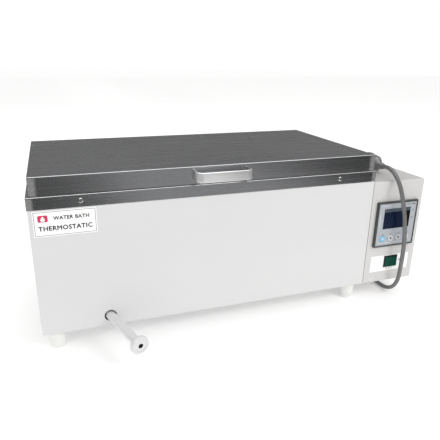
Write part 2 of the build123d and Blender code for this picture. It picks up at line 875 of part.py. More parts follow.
def make_lid_leaves():
    """The moving leaf of each hinge: a plate on the lid's rear skirt and the middle knuckle."""
    leaves = []
    for x in hinge_centres():
        half = hinge_knuckle_length / 2
        bore = hinge_pin_radius + hinge_pin_clearance
        web = block(x - half, x + half, lid_rear, hinge_y, hinge_z + hinge_web_offset, hinge_z + hinge_web_offset + hinge_leaf_thickness)
        pin_hole = rod(bore, (x - half - 1, hinge_y, hinge_z), (x + half + 1, hinge_y, hinge_z))
        plate = leaf_plate(x, lid_rear, hinge_z + hinge_web_offset, hinge_z + hinge_leaf_height)
        leaves.append((plate + web + knuckle(x, bore)) - pin_hole)
    return group(leaves)


def make_body_leaves():
    """The fixed leaf of each hinge: a plate on the rim's rear skirt and the two outer knuckles."""
    leaves = []
    for x in hinge_centres():
        half = hinge_knuckle_length / 2
        leaf = leaf_plate(x, rim_rear, hinge_z - hinge_leaf_height, hinge_z - hinge_web_offset)
        for centre in (x - knuckle_step, x + knuckle_step):
            web = block(
                centre - half, centre + half, rim_rear, hinge_y,
                hinge_z - hinge_web_offset - hinge_leaf_thickness, hinge_z - hinge_web_offset,
            )
            leaf += web
            leaf += knuckle(centre, hinge_pin_radius)
            leaf -= rod(
                hinge_pin_radius, (centre - half - 1, hinge_y, hinge_z), (centre + half + 1, hinge_y, hinge_z)
            )
        leaves.append(leaf)
    return group(leaves)


def make_hinge_pins():
    reach = 1.5 * hinge_knuckle_length + hinge_knuckle_gap
    return group(
        rod(hinge_pin_radius, (x - reach, hinge_y, hinge_z), (x + reach, hinge_y, hinge_z))
        for x in hinge_centres()
    )


# ------------------------------------------------------------------ control box
gland_x = box_x + gland_offset


def make_control_box_shell():
    """Front, top, right side and floor of the control box, folded from one painted sheet."""
    shell = block(box_left, box_right, cabinet_front, cabinet_rear, cabinet_bottom, box_top)
    right_edges = vertical_edges(shell).group_by(Axis.X)[-1].group_by(Axis.Y)[0]
    top_edges = shell.edges().group_by(Axis.Z)[-1]
    top_front = top_edges.group_by(Axis.Y)[0]
    top_right = top_edges.group_by(Axis.X)[-1]
    shell = fillet(right_edges + top_front + top_right, control_box_edge_radius)
    shell -= block(
        box_left - 1, box_inner_right, cabinet_front + panel_sheet, cabinet_rear + 1,
        cabinet_bottom + panel_sheet, box_top - panel_sheet,
    )
    half = (controller_body_size + controller_body_clearance) / 2
    y0 = cabinet_front - 1
    y1 = cabinet_front + panel_sheet + 1
    z = controller_centre_height
    shell -= block(box_x - half, box_x + half, y0, y1, z - half, z + half)
    half_x = switch_body_length / 2 + switch_opening_gap
    half_z = switch_body_height / 2 + switch_opening_gap
    shell -= block(switch_x - half_x, switch_x + half_x, y0, y1, switch_z - half_z, switch_z + half_z)
    return shell


def make_control_box_rear():
    """Rear cover of the control box: vent slots above, the mains lead's gland below."""
    y0 = cabinet_rear - panel_sheet
    y1 = cabinet_rear
    low = cabinet_bottom + panel_sheet
    high = box_top - panel_sheet
    cover = block(box_left, box_inner_right, y0, y1, low, high)
    first = high - vent_top_gap
    for row in range(vent_slot_count):
        z = first - row * vent_slot_pitch
        slot = SlotOverall(vent_slot_length, vent_slot_width)
        cutter = extrude(Plane(origin=(box_x, y0 - 1, z), z_dir=(0, 1, 0)) * slot, panel_sheet + 2)
        cover -= cutter
    cover -= rod(gland_neck_radius, (gland_x, y0 - 1, gland_height), (gland_x, y1 + 1, gland_height))
    for x, z in rear_screw_places():
        cover -= rod(box_screw_shank, (x, y0 - 1, z), (x, y1 + 1, z))
    return cover


def rear_screw_places():
    low = cabinet_bottom + box_screw_end_gap
    high = box_top - box_screw_end_gap
    xs = (box_left + box_screw_inset, box_right - box_screw_inset - 1)
    return [(x, z) for x in xs for z in (low, high)]


def make_control_box_screws():
    screws = []
    for x, z in rear_screw_places():
        screws.append(domed_screw(
            (x, cabinet_rear, z), (0, 1, 0), box_screw_head, box_screw_rise, box_screw_shank, box_screw_length,
        ))
    return group(screws)


# ------------------------------------------------------------------ temperature controller
panel_face = cabinet_front
frame_front = panel_face - controller_frame_depth
face_front = frame_front + controller_face_recess
face_back = face_front + controller_face_thickness
window_z = controller_centre_height + window_rise
key_z = controller_centre_height - key_drop
key_xs = [box_x + (n - 1.5) * key_pitch for n in range(4)]
frame_inner = controller_size - 2 * controller_frame_wall


def square_block(size, y0, y1):
    half = size / 2
    z = controller_centre_height
    return block(box_x - half, box_x + half, y0, y1, z - half, z + half)


def make_controller_frame():
    frame = square_block(controller_size, frame_front, panel_face)
    frame = fillet(frame.edges().filter_by(Axis.Y), controller_frame_corner)
    frame = chamfer(frame.edges().group_by(Axis.Y)[0], controller_frame_bevel)
    return frame - square_block(frame_inner, frame_front - 1, panel_face + 1)


def window_block(margin, y0, y1):
    half_x = window_length / 2 + margin
    half_z = window_height / 2 + margin
    return block(box_x - half_x, box_x + half_x, y0, y1, window_z - half_z, window_z + half_z)


def make_controller_face():
    face = square_block(frame_inner, face_front, face_back)
    face -= window_block(0, face_front - 1, face_back + 1)
    for x in key_xs:
        face -= rod(key_radius + key_clearance, (x, face_front - 1, key_z), (x, face_back + 1, key_z))
    return face


def make_display_window():
    return window_block(0, face_front, face_front + window_thickness)


def make_display_module():
    """The liquid-crystal panel in its carrier, hard against the window's back."""
    back = face_front + window_thickness
    carrier = window_block(display_carrier_margin, face_back, face_back + display_carrier_depth)
    glass = window_block(0, back, face_back)
    return carrier + glass


def make_key(x):
    """A round key with a wider flange behind the face that keeps it in."""
    cap = rod(key_radius, (x, face_front - key_proud, key_z), (x, face_back + key_root, key_z))
    rim = [e for e in cap.edges().filter_by(GeomType.CIRCLE) if e.center().Y < face_front]
    cap = fillet(rim, key_edge)
    flange_start = face_back + key_seat_gap
    flange = rod(
        key_radius + key_flange_lip, (x, flange_start, key_z), (x, flange_start + key_flange_thickness, key_z)
    )
    return cap + flange


board_front = panel_face + board_setback


def make_circuit_board():
    """Circuit board with one small push switch behind each key."""
    board = square_block(frame_inner - 2 * board_margin, board_front, board_front + board_thickness)
    push_front = face_back + key_seat_gap + key_flange_thickness + key_travel + key_seat_gap
    half = key_switch_size / 2
    for x in key_xs:
        board += block(x - half, x + half, push_front, board_front, key_z - half, key_z + half)
    return board


def make_controller_housing():
    """Square case behind the panel, open at its front where the board and face go in."""
    back = panel_face + controller_body_depth
    case = square_block(controller_body_size, panel_face, back)
    inner = controller_body_size - 2 * controller_body_wall
    case -= square_block(inner, panel_face - 1, back - controller_body_wall)
    ledge_half = inner / 2
    z = controller_centre_height
    ledge = square_block(inner, board_front + board_thickness, board_front + board_thickness + controller_ledge)
    ledge -= block(
        box_x - ledge_half + controller_ledge, box_x + ledge_half - controller_ledge,
        panel_face, back, z - ledge_half, z + ledge_half,
    )
    return case + ledge


def make_controller_clamps():
    """Two clamps on the case's sides that draw the frame against the panel."""
    half = controller_body_size / 2
    y0 = panel_face + panel_sheet
    z = controller_centre_height
    clamps = []
    for side in (-1, 1):
        inner = box_x + side * half
        outer = box_x + side * (half + clamp_thickness)
        x0 = min(inner, outer)
        x1 = max(inner, outer)
        clamps.append(block(x0, x1, y0, y0 + clamp_length, z - clamp_width / 2, z + clamp_width / 2))
    return group(clamps)


# ------------------------------------------------------------------ switch and plates
plate_front = panel_face - plate_thickness
switch_x = box_x + switch_offset_x
switch_z = plate_centre_height + switch_offset_z
switch_front = plate_front - switch_bezel_thickness
rocker_y = plate_front


def centred_block(x, z, length, height, y0, y1):
    return block(x - length / 2, x + length / 2, y0, y1, z - height / 2, z + height / 2)


def make_switch_plate():
    plate = centred_block(box_x, plate_centre_height, plate_length, plate_height, plate_front, panel_face)
    opening = centred_block(
        switch_x, switch_z, switch_body_length + 2 * switch_opening_gap, switch_body_height + 2 * switch_opening_gap,
        plate_front - 1, panel_face + 1,
    )
    return plate - opening


def make_switch_housing():
    """Bezel and case of the rocker switch, with sockets for the rocker's two pivots."""
    back = panel_face + switch_body_depth
    bezel = centred_block(switch_x, switch_z, switch_length, switch_height, switch_front, plate_front)
    bezel = chamfer(bezel.edges().group_by(Axis.Y)[0], switch_bezel_bevel)
    case = centred_block(switch_x, switch_z, switch_body_length, switch_body_height, plate_front, back)
    cavity = centred_block(
        switch_x, switch_z, switch_cavity_length, switch_cavity_height,
        switch_front - 1, rocker_y + switch_cavity_depth,
    )
    housing = bezel + case - cavity
    reach = switch_cavity_height / 2 + rocker_pivot_length + rocker_pivot_clearance
    socket = rod(
        rocker_pivot_radius + rocker_pivot_clearance,
        (switch_x, rocker_y, switch_z - reach), (switch_x, rocker_y, switch_z + reach),
    )
    return housing - socket


def make_rocker():
    """Rocker tilted to one side: its ends are arcs about the pivot and its front dips in the middle."""
    end_y = -rocker_end_rise
    end_x = math.sqrt(rocker_radius ** 2 - rocker_end_rise ** 2)
    height = switch_cavity_height - 2 * rocker_clearance
    front_left = Line((-end_x, end_y), (0, -rocker_dip))
    front_right = Line((0, -rocker_dip), (end_x, end_y))
    right = ThreePointArc((end_x, end_y), (rocker_radius, 0), (end_x, -end_y))
    back = Line((end_x, -end_y), (-end_x, -end_y))
    left = ThreePointArc((-end_x, -end_y), (-rocker_radius, 0), (-end_x, end_y))
    outline = make_face(Wire([front_left, front_right, right, back, left]))
    body = extrude(Pos(0, 0, -height / 2) * outline, height)
    reach = switch_cavity_height / 2 + rocker_pivot_length
    body += rod(rocker_pivot_radius, (0, 0, -reach), (0, 0, reach))
    return Pos(switch_x, rocker_y, switch_z) * Rot(0, 0, -rocker_half_angle) * body


def make_name_plate():
    x0 = rim_left + name_plate_from_left
    z1 = rim_bottom - name_plate_top_gap
    plate = block(
        x0, x0 + name_plate_length, cabinet_front - name_plate_thickness, cabinet_front,
        z1 - name_plate_height, z1,
    )
    return fillet(plate.edges().filter_by(Axis.Y), name_plate_corner)


# ------------------------------------------------------------------ inside the control box
relay_y = cabinet_front + relay_from_front
relay_z = controller_centre_height - relay_drop


def make_heat_sink():
    """Finned sink screwed to the box's right wall, its fins left off where the relay sits."""
    base_x = box_inner_right
    y0 = relay_y - sink_length / 2
    bottom = relay_z - sink_height / 2
    top = relay_z + sink_height / 2
    sink = block(base_x - sink_thickness, base_x, y0, y0 + sink_length, bottom, top)
    for n in range(sink_fin_count):
        y = y0 + n * sink_length / sink_fin_count
        for low, high in ((bottom, relay_z - relay_fall), (relay_z + relay_rise, top)):
            sink += block(base_x - sink_reach, base_x - sink_thickness + 1, y, y + sink_fin_thickness, low, high)
    return sink


def make_relay():
    """Solid-state relay block on the sink's flat middle."""
    x1 = box_inner_right - sink_thickness
    half = relay_length / 2
    return block(x1 - relay_depth, x1, relay_y - half, relay_y + half, relay_z - relay_fall, relay_z + relay_rise)


def make_terminal_block():
    floor = cabinet_bottom + panel_sheet
    y0 = cabinet_rear - terminal_from_rear
    x = box_x - terminal_offset
    half = terminal_width / 2
    length = terminal_count * terminal_pitch
    strip = block(x - half, x + half, y0, y0 + length, floor, floor + terminal_height)
    for n in range(terminal_count):
        y = y0 + (n + 0.5) * terminal_pitch
        top = floor + terminal_height
        strip -= rod(terminal_screw_radius, (x, y, top - terminal_screw_depth), (x, y, top + 1))
    return strip


# ------------------------------------------------------------------ mains lead
gland_mouth = (gland_x, cabinet_rear + gland_reach, gland_height)
plug_exit_z = box_top + plug_exit_rise

# centre line of the stretch from the gland down to the coil
cord_to_coil = [
    (318.0, 249.5, 72.0),
    (318.0, 274.0, 71.0),
    (314.0, 297.0, 62.0),
    (303.0, 316.0, 46.0),
    (285.0, 329.0, 28.0),
    (261.0, 335.0, 13.0),
    (232.0, 336.0, 5.5),
    (200.0, 335.5, 5.5),
]

# centre line of the stretch from the coil, under the control box and up its front, to the plug
cord_to_plug = [
    (200.0, 226.5, 14.0),
    (226.0, 226.0, 12.5),
    (252.0, 222.5, 7.5),
    (278.0, 214.5, 4.6),
    (303.0, 198.0, 4.5),
    (321.0, 174.0, 4.6),
    (331.0, 142.0, 4.5),
    (335.0, 98.0, 4.5),
    (332.0, 42.0, 4.6),
    (335.0, -14.0, 4.5),
    (333.0, -62.0, 4.5),
    (333.0, -98.9, 4.6),
    (332.5, -122.0, 17.3),
    (332.0, -136.0, 39.5),
    (333.0, -138.5, 73.0),
    (333.5, -140.5, 112.0),
    (329.5, -141.0, 151.0),
    (320.5, -141.5, 183.0),
    (311.0, -142.0, 210.0),
    (304.5, -142.0, 233.0),
    (302.5, -132.5, 256.5),
    (302.8, -114.0, 273.5),
    (305.6, -89.5, 278.5),
    (311.0, -65.0, 271.5),
]


def corner_radii(points, name):
    """The arc at each corner: 0.45 of the shorter run, over the tangent of half the turn."""
    radii = []
    for before, corner, after in zip(points, points[1:], points[2:]):
        run_in = Vector(*corner) - Vector(*before)
        run_out = Vector(*after) - Vector(*corner)
        half_turn = math.radians(run_in.get_angle(run_out)) / 2
        radii.append(0.45 * min(run_in.length, run_out.length) / math.tan(half_turn))
    print(name, "corner radii", [round(r, 1) for r in radii])
    return radii


def cord_tube(points, name):
    """Straight runs joined by tangent arcs, with a round section."""
    path = FilletPolyline(*points, radius=corner_radii(points, name))
    section = Plane(origin=path @ 0, z_dir=path % 0) * Circle(cord_radius)
    tube = sweep(section, path=path)
    expected = math.pi * cord_radius ** 2 * path.length
    print(name, "length", round(path.length, 1), "volume", round(tube.volume / expected, 4), "of its section")
    return tube


def make_mains_cord():
    return group([cord_tube(cord_to_coil, "gland to coil"), cord_tube(cord_to_plug, "coil to plug")])


def make_cord_coil():
    """Outer shape of the lead's put-away turns, lying in a round coil two turns high."""
    centre_z = coil_base + coil_height / 2
    section = Plane.XZ * (Pos(coil_middle_radius, centre_z) * RectangleRounded(coil_width, coil_height, coil_edge))
    return Pos(coil_centre_x, coil_centre_y, 0) * revolve(section, Axis.Z, 360)


def make_cord_tie():
    """A strap round the coil's right-hand side."""
    x = coil_centre_x + coil_middle_radius
    half = coil_width / 2
    top = coil_base + coil_height
    y0 = coil_centre_y - tie_width / 2
    y1 = coil_centre_y + tie_width / 2
    strap = block(
        x - half - tie_thickness, x + half + tie_thickness, y0, y1,
        coil_base - tie_thickness, top + tie_thickness,
    )
    return strap - make_cord_coil()


def make_cord_gland():
    """Moulded gland: a locknut face on the cover, a neck through it and a tapered boot behind."""
    y = cabinet_rear
    neck = rod(gland_neck_radius, (gland_x, y - gland_neck_length, gland_height), (gland_x, y, gland_height))
    nut = hexagon(gland_nut_flats, (gland_x, y, gland_height), (gland_x, y + gland_nut_thickness, gland_height))
    boot = taper(
        gland_base_radius - gland_boot_step, gland_tip_radius,
        (gland_x, y + gland_nut_thickness, gland_height), gland_mouth,
    )
    return neck + nut + boot


plug_low = box_top
plug_centre_z = box_top + plug_width / 2


def make_plug_body():
    """Moulded plug lying on its edge on the control box: flat-sided grip and a boot for the lead."""
    y0 = plug_front
    y1 = plug_front + plug_body_length
    grip = block(
        plug_axis_x - plug_thickness / 2, plug_axis_x + plug_thickness / 2, y0, y1,
        plug_low, plug_low + plug_width,
    )
    grip = fillet(grip.edges().filter_by(Axis.Y), plug_grip_edge)
    grip = fillet(grip.edges().group_by(Axis.Y)[0], plug_front_edge)
    boot = taper(
        plug_boot_base_radius, plug_boot_tip_radius,
        (plug_axis_x, y0 + 4, plug_exit_z), (plug_axis_x, y0 - plug_boot_length, plug_exit_z),
    )
    return grip + boot


def make_plug_pins():
    """Three flat blades: two leaning towards each other and an upright earth blade."""
    face = plug_front + plug_body_length
    pins = []
    blades = (
        (0, earth_pin_rise, 90, earth_pin_length),
        (-live_pin_offset, -live_pin_drop, live_pin_lean, live_pin_length),
        (live_pin_offset, -live_pin_drop, -live_pin_lean, live_pin_length),
    )
    for offset_x, offset_z, lean, length in blades:
        blade = Box(pin_thickness, length, pin_width, align=(Align.CENTER, Align.MIN, Align.CENTER))
        place = Pos(plug_axis_x + offset_x, face, plug_centre_z + offset_z) * Rot(0, lean, 0)
        pins.append(place * blade)
    return group(pins)


# ------------------------------------------------------------------ writing the nodes
def build_nodes():
    nodes = {
        "inner_tank": make_inner_tank(),
        "rim_screws": make_rim_screws(),
        "tank_insulation": make_tank_insulation(),
        "heating_element": make_heating_element(),
        "heater_nuts": make_heater_nuts(),
        "heater_terminals": make_heater_terminals(),
        "perforated_shelf": make_shelf(),
        "temperature_probe": make_temperature_probe(),
        "probe_gland": make_probe_gland(),
        "drain_outlet": make_drain_outlet(),
        "drain_union_nut": make_drain_nut(),
        "drain_elbow": make_drain_elbow(),
        "drain_seal": make_drain_seal(),
        "drain_stem": make_drain_stem(),
        "base_pan": make_base_pan(),
        "front_panel": make_front_panel(),
        "rear_panel": make_rear_panel(),
        "left_side_panel": make_side_panel(cabinet_left),
        "right_side_panel": make_right_side_panel(),
        "foot_bolts": make_foot_bolts(),
        "lid_shell": make_lid_shell(),
        "lid_liner": make_lid_liner(),
        "lid_insulation": make_lid_insulation(),
        "lid_gasket": make_lid_gasket(),
        "lid_handle": make_lid_handle(),
        "handle_screws": make_handle_screws(),
        "lid_hinge_leaves": make_lid_leaves(),
        "body_hinge_leaves": make_body_leaves(),
        "hinge_pins": make_hinge_pins(),
        "control_box_shell": make_control_box_shell(),
        "control_box_rear_cover": make_control_box_rear(),
        "control_box_screws": make_control_box_screws(),
        "controller_frame": make_controller_frame(),
        "controller_face": make_controller_face(),
        "controller_housing": make_controller_housing(),
        "controller_clamps": make_controller_clamps(),
        "display_window": make_display_window(),
        "display_module": make_display_module(),
        "circuit_board": make_circuit_board(),
        "switch_plate": make_switch_plate(),
        "switch_housing": make_switch_housing(),
        "switch_rocker": make_rocker(),
        "name_plate": make_name_plate(),
        "relay_heat_sink": make_heat_sink(),
        "solid_state_relay": make_relay(),
        "terminal_block": make_terminal_block(),
        "cord_gland": make_cord_gland(),
        "mains_cord": make_mains_cord(),
        "cord_coil": make_cord_coil(),
        "cord_tie": make_cord_tie(),
        "plug_body": make_plug_body(),
        "plug_pins": make_plug_pins(),
    }
    key_names = ("key_set", "key_shift", "key_down", "key_up")
    for name, x in zip(key_names, key_xs):
        nodes[name] = make_key(x)
    foot_names = ("foot_front_left", "foot_rear_left", "foot_front_right", "foot_rear_right")
    for name, (x, y) in zip(foot_names, foot_places()):
        nodes[name] = make_foot(x, y)
    return nodes


for node_name, shape in build_nodes().items():
    export_step(shape, f"parts/{node_name}.step")

print("hinge axis", round(hinge_y, 3), round(hinge_z, 3))
print("drain direction", [round(v, 5) for v in drain_direction], "at", [round(v, 3) for v in drain_point])
print("rim", rim_left, rim_right, rim_front, rim_rear, rim_top, "box", box_left, box_right, box_top)
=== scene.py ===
# %% [markdown]
# # A laboratory water bath
# The real object is a stainless tank in a painted steel cabinet. A hinged lid covers the tank, a
# control box hangs on the right-hand end, a drain cock leans out at the front, and a mains lead
# goes from the back of the box, through a tied coil, up over the box to its plug.
# The engineering model already has every sheet, screw and hole at its true size, so this lesson
# only adds what a drawing can't: finishes, print, soft pieces and light. The first step loads
# the model as a fixed frame, and everything later takes its place from it.

# %% Load the frame
import math
import bmesh
import bpy
from mathutils import Matrix, Vector


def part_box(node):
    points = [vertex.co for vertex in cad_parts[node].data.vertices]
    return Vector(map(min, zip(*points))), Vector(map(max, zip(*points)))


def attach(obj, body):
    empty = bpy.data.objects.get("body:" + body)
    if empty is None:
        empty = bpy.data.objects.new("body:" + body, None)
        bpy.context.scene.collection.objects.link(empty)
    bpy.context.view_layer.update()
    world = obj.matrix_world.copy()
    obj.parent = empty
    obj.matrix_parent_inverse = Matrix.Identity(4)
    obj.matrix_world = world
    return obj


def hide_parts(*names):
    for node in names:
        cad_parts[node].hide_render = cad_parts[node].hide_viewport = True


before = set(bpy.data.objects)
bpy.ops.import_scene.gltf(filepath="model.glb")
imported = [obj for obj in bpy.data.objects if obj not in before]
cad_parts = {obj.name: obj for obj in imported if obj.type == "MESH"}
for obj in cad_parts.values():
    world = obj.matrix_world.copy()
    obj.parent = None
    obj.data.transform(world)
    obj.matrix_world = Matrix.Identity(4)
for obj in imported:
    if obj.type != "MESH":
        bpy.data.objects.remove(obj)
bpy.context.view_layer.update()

# %% [markdown]
# ## The eye
# A catalogue picture of a bench appliance is usually taken from a standing person's height, a
# little to one side. A camera can be set by angles, or by a place and something to look at. The
# second way is used, because both points can be measured on the bench. The small roll is the
# tilt of a camera held by hand, put on after the camera is aimed.

# %% Place the camera
eye_place = Vector((-0.32783, -0.86359, 0.49003))
eye_aim = Vector((-0.02882, -0.01909, 0.17420))
eye_roll = math.radians(0.764)

eye_data = bpy.data.cameras.new("eye")
eye_data.lens = 38.93
eye_data.sensor_width = 36.0
eye_data.clip_end = 60.0
eye = bpy.data.objects.new("eye", eye_data)
bpy.context.scene.collection.objects.link(eye)
eye.rotation_mode = "QUATERNION"
eye.location = eye_place
look = (eye_aim - eye_place).to_track_quat("-Z", "Y")
eye.rotation_quaternion = look @ Matrix.Rotation(eye_roll, 4, "Z").to_quaternion()
bpy.context.scene.camera = eye
print("camera looks from", tuple(eye.location), "at", tuple(eye_aim))

# %% [markdown]
# ## The mains lead
# The lead is one piece of three-core flexible cable, 8.5 mm thick and about two metres long. It
# could be a swept tube with arcs at its corners, but a real cable has no arcs and no straight
# runs: its bend grows and fades all along it. One smooth spline does the same, so the route is a
# list of points that the cable is drawn towards, and the coil's turns are worked out by a loop,
# because a wound coil does follow a rule.

# %% Route of the lead
lead_radius = 0.00425
lead_to_coil = [
    (0.3180, 0.2495, 0.0720), (0.3180, 0.2740, 0.0710), (0.3140, 0.2970, 0.0620),
    (0.3030, 0.3160, 0.0460), (0.2850, 0.3290, 0.0280), (0.2610, 0.3350, 0.0130),
    (0.2320, 0.3360, 0.0055),
]
lead_to_plug = [
    (0.2260, 0.2260, 0.0125), (0.2520, 0.2225, 0.0075), (0.2780, 0.2145, 0.0046),
    (0.3030, 0.1980, 0.0045), (0.3210, 0.1740, 0.0046), (0.3310, 0.1420, 0.0045),
    (0.3350, 0.0980, 0.0045), (0.3320, 0.0420, 0.0046), (0.3350, -0.0140, 0.0045),
    (0.3330, -0.0620, 0.0045), (0.3325, -0.0960, 0.0046), (0.3320, -0.1190, 0.0165),
    (0.3315, -0.1335, 0.0395), (0.3322, -0.1345, 0.0730), (0.3325, -0.1350, 0.1120),
    (0.3288, -0.1358, 0.1480), (0.3225, -0.1366, 0.1800), (0.3150, -0.1372, 0.2070),
    (0.3082, -0.1362, 0.2300), (0.3035, -0.1300, 0.2520), (0.3022, -0.1140, 0.2690),
    (0.3046, -0.0900, 0.2762), (0.3110, -0.0650, 0.2715),
]

# %% [markdown]
# The coil lies behind the cabinet, in two layers. The lower layer winds inwards, the cable climbs
# on to itself at the middle, and the upper layer winds out again. Sixteen points go to a turn.
# The spline cuts inside its points by a known share, so the loop sets them out by that share.

# %% Turns of the coil
coil_centre = Vector((0.200, 0.281))
coil_outer, coil_inner = 0.0536, 0.0375
coil_low, coil_high = 0.00545, 0.01395
points_per_turn = 16
inside_cut = 1.0 / math.cos(math.pi / points_per_turn)


def coil_radius_and_height(turned):
    """Radius and height of the cable after it has turned so many degrees from the coil's back."""
    if turned <= 720:
        return coil_outer + (coil_inner - coil_outer) * turned / 720, coil_low
    if turned <= 780:
        return coil_inner, coil_low + (coil_high - coil_low) * (turned - 720) / 60
    return coil_inner + (coil_outer - coil_inner) * (turned - 780) / 480, coil_high


coil_turns = []
turned = 0.0
while turned <= 1260.0:
    radius, height = coil_radius_and_height(turned)
    angle = math.radians(90.0 + turned)
    coil_turns.append((coil_centre.x + radius * inside_cut * math.cos(angle),
                       coil_centre.y + radius * inside_cut * math.sin(angle), height))
    turned += 360.0 / points_per_turn
print("coil:", len(coil_turns), "points in", 1260 / 360, "turns")

# %% [markdown]
# A quadratic spline keeps close to its points. The profile is a circle of radius one, so each
# point's radius is the cable's own.

# %% Draw the lead
lead_curve = bpy.data.curves.new("mains_lead", "CURVE")
lead_curve.dimensions = "3D"
lead_line = lead_curve.splines.new("NURBS")
lead_points = lead_to_coil + coil_turns + lead_to_plug
lead_line.points.add(len(lead_points) - 1)
for point, place in zip(lead_line.points, lead_points):
    point.co = (*place, 1.0)
    point.radius = lead_radius
lead_line.order_u = 3
lead_line.use_endpoint_u = True
lead_line.resolution_u = 10
lead_curve.bevel_depth = 1.0
lead_curve.bevel_resolution = 5
lead_curve.use_fill_caps = True
mains_lead = bpy.data.objects.new("mains_lead", lead_curve)
bpy.context.scene.collection.objects.link(mains_lead)
print("lead:", len(lead_points), "points")
# %% [markdown]
# ## The studio
# The room is a plain pale floor under a pale sky, with one large soft light at the front right.
# Brushed steel has no colour of its own: it is a blurred picture of the room. In a white room it
# would come out white, so product photographers stand grey cards where the steel looks. The same
# is done here with a dome and floor cards that only reflections see. They are part of the
# stage, stay put when the eye moves, and their tones are set by direction.

# %% Helpers for node trees
scene = bpy.context.scene
scene.view_settings.view_transform = "Standard"
scene.view_settings.look = "None"


def add(tree, kind, inputs, **settings):
    """A node with its settings. Each input takes a value, or a wire from a socket."""
    made = tree.nodes.new(kind)
    for label, value in settings.items():
        setattr(made, label, value)
    for label, value in inputs.items():
        if isinstance(value, bpy.types.NodeSocket):
            tree.links.new(value, made.inputs[label])
        else:
            made.inputs[label].default_value = value
    return made


def shader_material(name, kind, inputs):
    """A material made of one shader. Returns the material, its tree and the shader."""
    made = bpy.data.materials.new(name)
    made.use_nodes = True
    made.node_tree.nodes.clear()
    shader = add(made.node_tree, kind, inputs)
    add(made.node_tree, "ShaderNodeOutputMaterial", {"Surface": shader.outputs[0]})
    return made, made.node_tree, shader


def along(tree, axis):
    """The object's own coordinate along one axis."""
    where = add(tree, "ShaderNodeTexCoord", {})
    return add(tree, "ShaderNodeSeparateXYZ", {"Vector": where.outputs["Object"]}).outputs[axis]


def spread(tree, value, low, high, to_low=0.0, to_high=1.0):
    """Brings low..high to to_low..to_high."""
    return add(tree, "ShaderNodeMapRange", {"Value": value, "From Min": low, "From Max": high,
                                            "To Min": to_low, "To Max": to_high}).outputs[0]


print("helpers for node trees are ready")

# %% [markdown]
# The floor is matt white paper that also glows a little, as a well-lit backdrop does. The sky
# lights every side evenly.

# %% Floor and sky
def sheet_object(name, x0, y0, x1, y1, height, material):
    """A flat level stage sheet."""
    mesh = bpy.data.meshes.new(name)
    corners = [(x0, y0, height), (x1, y0, height), (x1, y1, height), (x0, y1, height)]
    mesh.from_pydata(corners, [], [(0, 1, 2, 3)])
    mesh.materials.append(material)
    made = bpy.data.objects.new(name, mesh)
    scene.collection.objects.link(made)
    return made


floor_half = 20.0
floor_glow, sky_glow = 0.22, 0.85
floor_paint = shader_material("floor_paint", "ShaderNodeBsdfPrincipled", {
    "Base Color": (0.90, 0.90, 0.895, 1.0), "Roughness": 0.8, "Specular IOR Level": 0.1,
    "Emission Color": (1.0, 1.0, 1.0, 1.0), "Emission Strength": floor_glow})[0]
sheet_object("floor", -floor_half, -floor_half, floor_half, floor_half, 0.0, floor_paint)

sky = bpy.data.worlds.new("sky")
scene.world = sky
sky.use_nodes = True
sky.node_tree.nodes["Background"].inputs["Color"].default_value = (1.0, 1.0, 1.0, 1.0)
sky.node_tree.nodes["Background"].inputs["Strength"].default_value = sky_glow
print("floor glows", floor_glow, "and sky", sky_glow)

# %% [markdown]
# Three square lights are hung: a strong one at the front right that draws the soft shadows, a
# weak one that fills them from the left, and one behind that parts the object from the backdrop.

# %% Soft lights
def soft_light(name, place, target, size, power):
    """A square area light aimed at a point. Power is in watts."""
    data = bpy.data.lights.new(name, "AREA")
    data.shape = "SQUARE"
    data.size = size
    data.energy = power
    made = bpy.data.objects.new(name, data)
    made.location = place
    made.rotation_mode = "QUATERNION"
    made.rotation_quaternion = (Vector(target) - Vector(place)).to_track_quat("-Z", "Y")
    made.visible_glossy = False
    scene.collection.objects.link(made)


soft_light("window_light", (1.9, -2.4, 2.3), (0.0, -0.1, 0.15), 1.2, 36.0)
soft_light("fill_light", (-2.2, -1.6, 1.4), (0.0, -0.1, 0.15), 1.8, 6.0)
soft_light("back_light", (-0.5, 2.6, 1.8), (0.0, 0.1, 0.1), 1.8, 12.0)

# %% [markdown]
# The dome's tone runs with height: mid grey low down, a darker band where the lid's top looks,
# and a bright ring high up that draws the thin bright line along every bent edge.

# %% The dome of tones
def tone_ramp(tree, value, stops):
    """A colour ramp of greys: stops are (place, tone)."""
    ramp = add(tree, "ShaderNodeValToRGB", {0: value})
    ramp.color_ramp.interpolation = "EASE"
    points = ramp.color_ramp.elements
    while len(points) < len(stops):
        points.new(0.5)
    for point, (place, tone) in zip(points, stops):
        point.position = place
        point.color = (tone, tone, tone, 1.0)
    return ramp.outputs[0]


def only_for_reflections(card):
    """The card shows in glossy surfaces and nowhere else."""
    for ray in ("camera", "diffuse", "transmission", "volume_scatter", "shadow"):
        setattr(card, "visible_" + ray, False)


dome_radius = 9.0
dome_tone, tree, glow = shader_material("dome_tone", "ShaderNodeEmission", {"Strength": 1.0})
where = add(tree, "ShaderNodeTexCoord", {})
direction = add(tree, "ShaderNodeVectorMath", {0: where.outputs["Object"]}, operation="NORMALIZE")
height = add(tree, "ShaderNodeSeparateXYZ", {"Vector": direction.outputs[0]}).outputs["Z"]
tree.links.new(tone_ramp(tree, spread(tree, height, 0.0, 1.0), [
    (0.0, 0.20), (0.10, 0.17), (0.32, 0.145), (0.58, 0.17),
    (0.76, 1.2), (0.84, 2.6), (0.93, 2.6), (1.0, 0.5)]),
    glow.inputs["Color"])

